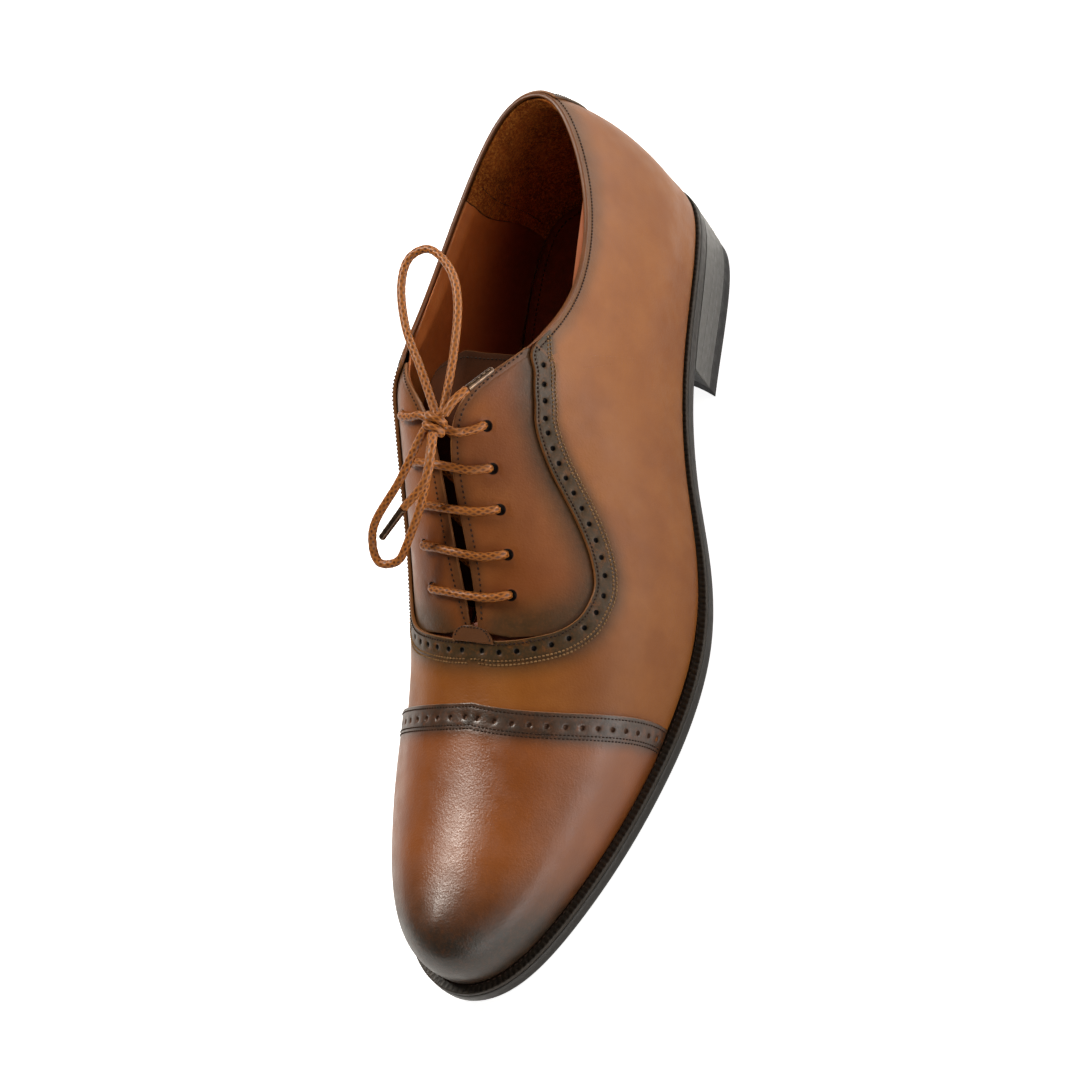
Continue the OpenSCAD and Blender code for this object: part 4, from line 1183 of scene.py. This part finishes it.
def plain_leather(name, a, b, size, rough, deep_tone_and_shade=None):
    """Lining, sock or insole leather. The optional last colour is a painted shade colour, blended in
    where the shade attribute is low, down inside the shoe.
    """
    m = Paint(name)
    base = m.blend(m.drift(size, 4, 0.6), a, b)
    base = m.blend(m.math("MULTIPLY", m.drift(1.2), 0.2), base, b)
    base = m.blend(m.math("MULTIPLY", m.attr("edge"), 0.6), base, srgb(150, 96, 52))
    # Painted shade: fully the last colour where the attribute is 0.1 or less, none from 0.75 up.
    if deep_tone_and_shade is not None:
        base = m.blend(m.remap(m.attr("deep_tone_and_shade"), 0.75, 0.1), base, deep_tone_and_shade)
    m.surface(base, 4, 3, rough - 0.06, rough + 0.08)
    m.bump(m.noise(0.6, 4, 0.65), 0.05)
    m.bump(m.cells(1.1), 0.03)
    return m.mat


def suede_paint(name):
    m = Paint(name)
    base = m.blend(m.drift(9, 4, 0.7), srgb(176, 92, 34), srgb(128, 58, 18))
    base = m.blend(m.remap(m.noise(0.9, 4, 0.8), 0.42, 0.7), base, srgb(220, 140, 62))
    base = m.blend(m.math("MULTIPLY", m.attr("edge"), 0.8), base, srgb(150, 96, 52))
    m.set(Base_Color=base, Roughness=0.95, Specular_IOR_Level=0.1)
    m.bump(m.noise(0.45, 4, 0.8), 0.35)
    m.bump(m.noise(2.2, 4, 0.7), 0.5)
    return m.mat


def cord_paint(name):
    m = Paint(name)
    # Painted shade and highlight of the braid: dark in the valleys between strands, light on their
    # crowns.
    lump = m.remap(m.attr("lump"), -0.9, 0.8)
    base = m.blend(lump, srgb(84, 44, 14), srgb(160, 94, 36))
    base = m.blend(m.remap(m.noise(7, 3), 0.35, 0.7, 0, 0.45), base, srgb(138, 84, 38))
    m.surface(base, 1.5, 3, 0.32, 0.5, Coat_Weight=0.15, Coat_Roughness=0.25,
              Specular_IOR_Level=0.25)
    m.bump(m.noise(0.18, 2, 0.7), 0.05)
    return m.mat


def thread_paint(name, a, b):
    m = Paint(name)
    m.set(Base_Color=m.blend(m.drift(3), a, b), Roughness=0.62, Specular_IOR_Level=0.2)
    m.bump(m.noise(0.12, 2, 0.6), 0.04)
    return m.mat


def edge_paint(name, a, b, rough, layers, coat=0.0):
    """Dressed sole edge or heel stack: ink over fine lines, scuffed a little. The heel stack's grey is
    painted lighter than its ink, as painted reflection of the floor.
    """
    m = Paint(name)
    lines = m.noise(0.5, 3, 0.5, stretch=(0.12, 0.12, 2.2))
    base = m.blend(m.remap(lines, 0.35, 0.65, 0, 0.75), a, b)
    scuff = m.remap(m.noise(4, 5, 0.75), 0.62, 0.8, 0, 0.35)
    base = m.blend(scuff, base, srgb(120, 112, 106))
    # Painted shade: the pit mask (the welt's notches) goes near black.
    base = m.blend(m.attr("pit_shade"), base, srgb(12, 9, 7))
    m.surface(base, 3, 4, rough - 0.06, rough + 0.1, Coat_Weight=coat, Coat_Roughness=0.2)
    m.bump(lines, layers)
    m.bump(m.noise(1.2, 4, 0.6), 0.05)
    return m.mat


def film_paint(name):
    m = Paint(name)
    base = m.blend(m.drift(1.6, 3, 0.5), srgb(74, 52, 36), srgb(116, 90, 66))
    m.surface(base, 1.1, 3, 0.1, 0.2, Metallic=0.85, Coat_Weight=0.6, Coat_Roughness=0.05)
    m.bump(m.noise(1.6, 2), 0.02)
    return m.mat


def metal_paint(name, colour, rough):
    m = Paint(name)
    base = m.blend(m.drift(2, 4, 0.55, 0, 0.35), colour, srgb(70, 60, 50))
    brushed = m.noise(0.8, 3, 0.6, stretch=(1, 6, 1))
    m.set(Base_Color=base, Metallic=0.9,
          Roughness=m.remap(brushed, 0.3, 0.7, rough - 0.08, rough + 0.1))
    m.bump(m.noise(0.4, 3), 0.03)
    return m.mat


def granular_paint(name, a, b, size):
    m = Paint(name)
    base = m.blend(m.remap(m.cells(size), 0.1, 0.6), a, b)
    m.surface(base, 2, 3, 0.78, 0.95)
    m.bump(m.cells(size), 0.3)
    return m.mat


BURNISH = (60, 45, 26)
# Key, maker, material name, colours, then the maker's own values.
PAINTS = (
    ("upper", upper_paint, "burnished_calf", [(142, 85, 35), (128, 72, 26), BURNISH]),
    ("cap", upper_paint, "burnished_calf_cap", [(138, 75, 27), (124, 65, 21), (46, 36, 26)],
     0.33, 0.7, (84, 50, 24)),
    ("facing", upper_paint, "burnished_calf_facing", [(134, 78, 38), (118, 64, 28), BURNISH]),
    ("dark", upper_paint, "burnished_calf_dark", [(122, 72, 40), (100, 58, 32), BURNISH]),
    ("tongue", upper_paint, "tongue_calf", [(72, 38, 20), (58, 31, 18), (46, 28, 18)], 0.65, 0.03),
    # The lining's last colour is its painted shade colour, for deep inside the shoe.
    ("lining", plain_leather, "lining_calf", [(206, 118, 56), (188, 100, 42)], 14, 0.5,
     srgb(120, 54, 20)),
    ("sock", plain_leather, "sock_leather", [(150, 70, 34), (118, 52, 24)], 18, 0.5),
    ("insole", plain_leather, "insole_leather", [(190, 140, 90), (160, 112, 68)], 8, 0.7),
    ("suede", suede_paint, "suede_grip", []),
    ("cord", cord_paint, "waxed_cord", []),
    ("thread", thread_paint, "upper_thread", [(52, 31, 16), (38, 24, 14)]),
    ("thread_tan", thread_paint, "band_thread", [(140, 106, 68), (112, 80, 48)]),
    ("thread_light", thread_paint, "lining_thread", [(74, 36, 16), (56, 26, 12)]),
    ("thread_welt", thread_paint, "welt_thread", [(62, 42, 30), (40, 28, 22)]),
    ("sole", edge_paint, "sole_edge", [(42, 39, 36), (58, 54, 50)], 0.36, 0.02, 0.08),
    # The heel stack's greys are painted lighter than its dark ink: painted reflection of the floor on
    # the stack's sides.
    ("stack", edge_paint, "heel_stack", [(98, 97, 95), (108, 107, 105)], 0.36, 0.01, 0.1),
    ("rubber", edge_paint, "heel_rubber", [(40, 39, 39), (52, 50, 50)], 0.45, 0.01),
    ("welt", edge_paint, "welt_strip", [(38, 30, 21), (54, 42, 28)], 0.5, 0.03),
    ("aglet", film_paint, "aglet_film", []),
    ("brass", metal_paint, "brass", [(186, 146, 84)], 0.3),
    ("steel", metal_paint, "spring_steel", [(150, 152, 156)], 0.32),
    ("cork", granular_paint, "cork", [(176, 128, 80), (110, 74, 42)], 1.4),
    ("stiffener", granular_paint, "stiffener", [(206, 188, 152), (180, 160, 122)], 0.6))


def make_paints():
    for key, maker, name, colours, *values in PAINTS:
        PAINT[key] = maker(name, *(srgb(*c) for c in colours), *values)


# ---------------------------------------------------------------- assembly
def place(made, *plans):
    """Finishes the pieces that one maker returns, in their order."""
    for obj, plan in zip(made, plans):
        finish(obj, *plan)


def sock_stitches():
    rows = []
    for a, b in ((6.2, 12.7), (NET - 12.7, NET - 6.2)):
        u = np.linspace(a, b, 300)
        line = edge(u, np.full(300, -8.2), np.full(300, 3.6))
        rows.append(stitch_row(line, np.broadcast_to(UP, line.shape), pitch=2.0, length=1.4))
    return thread("sock_stitches", rows)


def assemble():
    make_paints()
    place(upper_body(), ("upper", "flex", "upper_leather", "upper_body"),
          ("thread", "flex", "dark_leather"), ("thread_tan", "flex", "dark_leather"))
    place(toe_cap(), ("cap", "forepart", "upper_leather", "toe_cap"),
          ("thread", "forepart", "dark_leather"))
    for side, outer, throat, holes in (
            ("lateral", FACING_OUTER, FACING_THROAT, HOLES_OUTER),
            ("medial", mirrored(FACING_OUTER), mirrored(FACING_THROAT),
             [(NET - k, h) for k, h in HOLES_INNER])):
        place(facing("facing_%s_leather" % side, outer, throat, holes),
              ("facing", "rear", "facing_leather", "facing_" + side),
              ("thread", "rear", "dark_leather"))
    for maker, node, body in ((throat_tab, "throat_tab", "flex"), (back_strip, "back_strip", "rear")):
        place(maker(), ("dark", body, "dark_leather", node), ("thread", body, "dark_leather"))
    finish(topline_binding(), "dark", "rear", "dark_leather", "topline_binding")
    for side in ("lateral", "medial"):
        finish(quarter_lining(side), "lining", "rear", "lining_leather", "quarter_lining_" + side)
    place(heel_grip(), ("suede", "rear", "suede", "heel_grip"),
          ("thread_light", "rear", "lining_leather"))
    finish(vamp_lining(), "lining", "flex", "lining_leather", "vamp_lining")
    place(tongue_pieces(), ("tongue", "tongue_body", "tongue_leather", "tongue"),
          ("thread", "tongue_body", "dark_leather"),
          ("lining", "tongue_body", "lining_leather", "tongue_lining"))

    finish(outsole(), "sole", "flex", "sole_edge", "outsole_rear", "outsole_forepart")
    place(welt(), ("welt", "flex", "welt_leather", "welt"),
          ("thread_welt", "flex", "welt_leather"))
    finish(plate("insole_leather_board", 0.1, 12.93, 160, [(-4.9, 0.2), (-4.9, 2.6)]),
           "insole", "flex", "insole_leather", "insole_rear", "insole_forepart")
    finish(plate("sock_liner_leather", 0.1, 12.93, 260,
                 [(-5.3, 2.7), (-5.0, 2.85), (-4.7, 3.4), (-4.9, 3.6)], middle=24),
           "sock", "flex", "sock_leather", "sock_liner")
    finish(sock_stitches(), "thread_light", "rear", "sock_leather")
    for name, low, high, paint, node in (
            ("heel_rubber_top_piece", 0.0, 6.0, "rubber", "heel_top_piece"),
            ("heel_stack_lift_1", 6.1, 11.0, "stack", "heel_lift_1"),
            ("heel_stack_lift_2", 11.1, 16.0, "stack", "heel_lift_2"),
            ("heel_stack_seat", 16.1, None, "stack", "heel_seat_lift")):
        finish(heel_block(name, low, high), paint, "rear", "heel_" + paint, node)

    for node, path, width, body, phase in (
            ("lace_bars", lace_path(), CORD, "rear", 0.0),
            ("lace_knot", knot_path(), CORD*0.95, "rear", 0.0),
            ("bow_loop_up", catmull(reach_in(LOOP_UP), 10), CORD, "loop_up", 1.0),
            ("bow_loop_down", catmull(reach_in(LOOP_DOWN), 10), CORD, "loop_down", 1.0),
            ("lace_end_front", catmull(END_FRONT, 10), CORD, "end_front", 0.0),
            ("lace_end_back", catmull(END_BACK, 10), CORD, "end_back", 0.0)):
        finish(cord(node + "_cord", path, width, phase), "cord", body, "waxed_cord", node)
    for end, path in (("front", AGLET_FRONT), ("back", AGLET_BACK)):
        finish(aglet("aglet_%s_film" % end, path), "aglet", "end_" + end, "aglet_film",
               "aglet_" + end)

    hidden = {"heel_nails": "brass", "cork_filler": "cork", "shank": "steel",
              "toe_puff": "stiffener", "heel_counter": "stiffener", "eyelet_rings": "brass"}
    for node, paint in hidden.items():
        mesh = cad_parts[node].data
        mesh.materials.clear()
        mesh.materials.append(PAINT[paint])


# ---------------------------------------------------------------- studio
TARGET = np.array([0, -115, 45.0])
TILT_OUT, TILT_TOE, ROLL = radians(31.8), radians(30.75), radians(11.16)
DISTANCE = 1101
PIXELS_PER_MM = 2.99
FRAME_SIDE = 1080
SHIFT_X, SHIFT_Y = -9.16, -5.74
FLOOR_GLOW, FLOOR_FAR_GLOW, FLOOR_SEEN = (0.15, 0.6), 4.5, 0.9
LAMP_TINT = (1.0, 0.95, 0.87)
WORLD_GLOW = 0.07
SENSOR_MM = 36
# Name, place, aim, width, power, height, in metres and watts.
LAMPS = [("top_left_box", (-0.44, 0.12, 0.98), (0, -0.18, 0.05), 0.42, 12, 0.34),
         ("right_strip", (1.1, 0.0, 0.25), (0, -0.1, 0.04), 0.6, 4, 1.6),
         ("back_box", (0.35, 1.1, 0.5), (0, -0.12, 0.05), 1.0, 7, 1.0),
         ("front_fill", (0.9, -1.2, 0.35), (0, -0.12, 0.05), 1.0, 3, 1.0)]


def studio():
    scene = bpy.context.scene
    d = unit(np.array([np.tan(TILT_OUT), -np.tan(TILT_TOE), 1]))
    up0 = np.array([0, 1.0, 0])
    up0 = unit(up0 - d*(up0 @ d))
    r = np.cross(up0, d)
    right = cos(ROLL)*r + sin(ROLL)*up0
    up = -sin(ROLL)*r + cos(ROLL)*up0
    data = bpy.data.cameras.new("camera")
    data.sensor_width = SENSOR_MM
    data.lens = PIXELS_PER_MM*DISTANCE/FRAME_SIDE*SENSOR_MM
    data.shift_x = -SHIFT_X/FRAME_SIDE
    data.shift_y = SHIFT_Y/FRAME_SIDE
    data.clip_start, data.clip_end = 0.05, 20
    camera = bpy.data.objects.new("camera", data)
    m = np.eye(4)
    m[:3, 0], m[:3, 1], m[:3, 2], m[:3, 3] = right, up, d, (TARGET + d*DISTANCE)*MM
    camera.matrix_world = Matrix(m.tolist())
    scene.collection.objects.link(camera)
    scene.camera = camera

    for name, spot, aim, width, power, height in LAMPS:
        light = bpy.data.lights.new(name, "AREA")
        light.shape = "RECTANGLE"
        light.size, light.size_y = width, height
        light.energy = power
        light.color = LAMP_TINT
        obj = bpy.data.objects.new(name, light)
        obj.location = spot
        obj.rotation_euler = (Vector(spot) - Vector(aim)).to_track_quat("Z", "Y").to_euler()
        scene.collection.objects.link(obj)

    m = Paint("pale_floor")
    base = m.blend(m.drift(260, 2), srgb(246, 246, 246), srgb(250, 250, 250))
    seen = m.node("LightPath").outputs["Is Camera Ray"]
    outwards = m.node("SeparateXYZ", {"Vector": m.place}).outputs["X"]
    glow = m.math("ADD", m.remap(outwards, 0.06, 0.3, *FLOOR_GLOW),
                  m.remap(outwards, 0.24, 0.4, 0, FLOOR_FAR_GLOW))
    glow = m.math("ADD", m.math("MULTIPLY", glow, m.math("SUBTRACT", 1.0, seen)),
                  m.math("MULTIPLY", seen, FLOOR_SEEN))
    m.set(Base_Color=base, Roughness=0.9, Emission_Color=(1, 1, 1, 1), Emission_Strength=glow)
    bm = bmesh.new()
    bmesh.ops.create_grid(bm, x_segments=8, y_segments=8, size=6)
    mesh = bpy.data.meshes.new("floor")
    bm.to_mesh(mesh)
    bm.free()
    mesh.materials.append(m.mat)
    floor = bpy.data.objects.new("floor", mesh)
    floor.location = (0, 0, -0.0003)
    scene.collection.objects.link(floor)

    world = bpy.data.worlds.new("studio")
    world.use_nodes = True
    nodes, links = world.node_tree.nodes, world.node_tree.links
    nodes["Background"].inputs["Color"].default_value = (1, 1, 1, 1)
    sky = nodes.new("ShaderNodeMapRange")
    sky.inputs["To Min"].default_value = WORLD_GLOW
    sky.inputs["To Max"].default_value = 1.0
    links.new(nodes.new("ShaderNodeLightPath").outputs["Is Camera Ray"], sky.inputs["Value"])
    links.new(sky.outputs["Result"], nodes["Background"].inputs["Strength"])
    scene.world = world
    scene.view_settings.view_transform = "Standard"
    scene.view_settings.look = "None"


assemble()
studio()
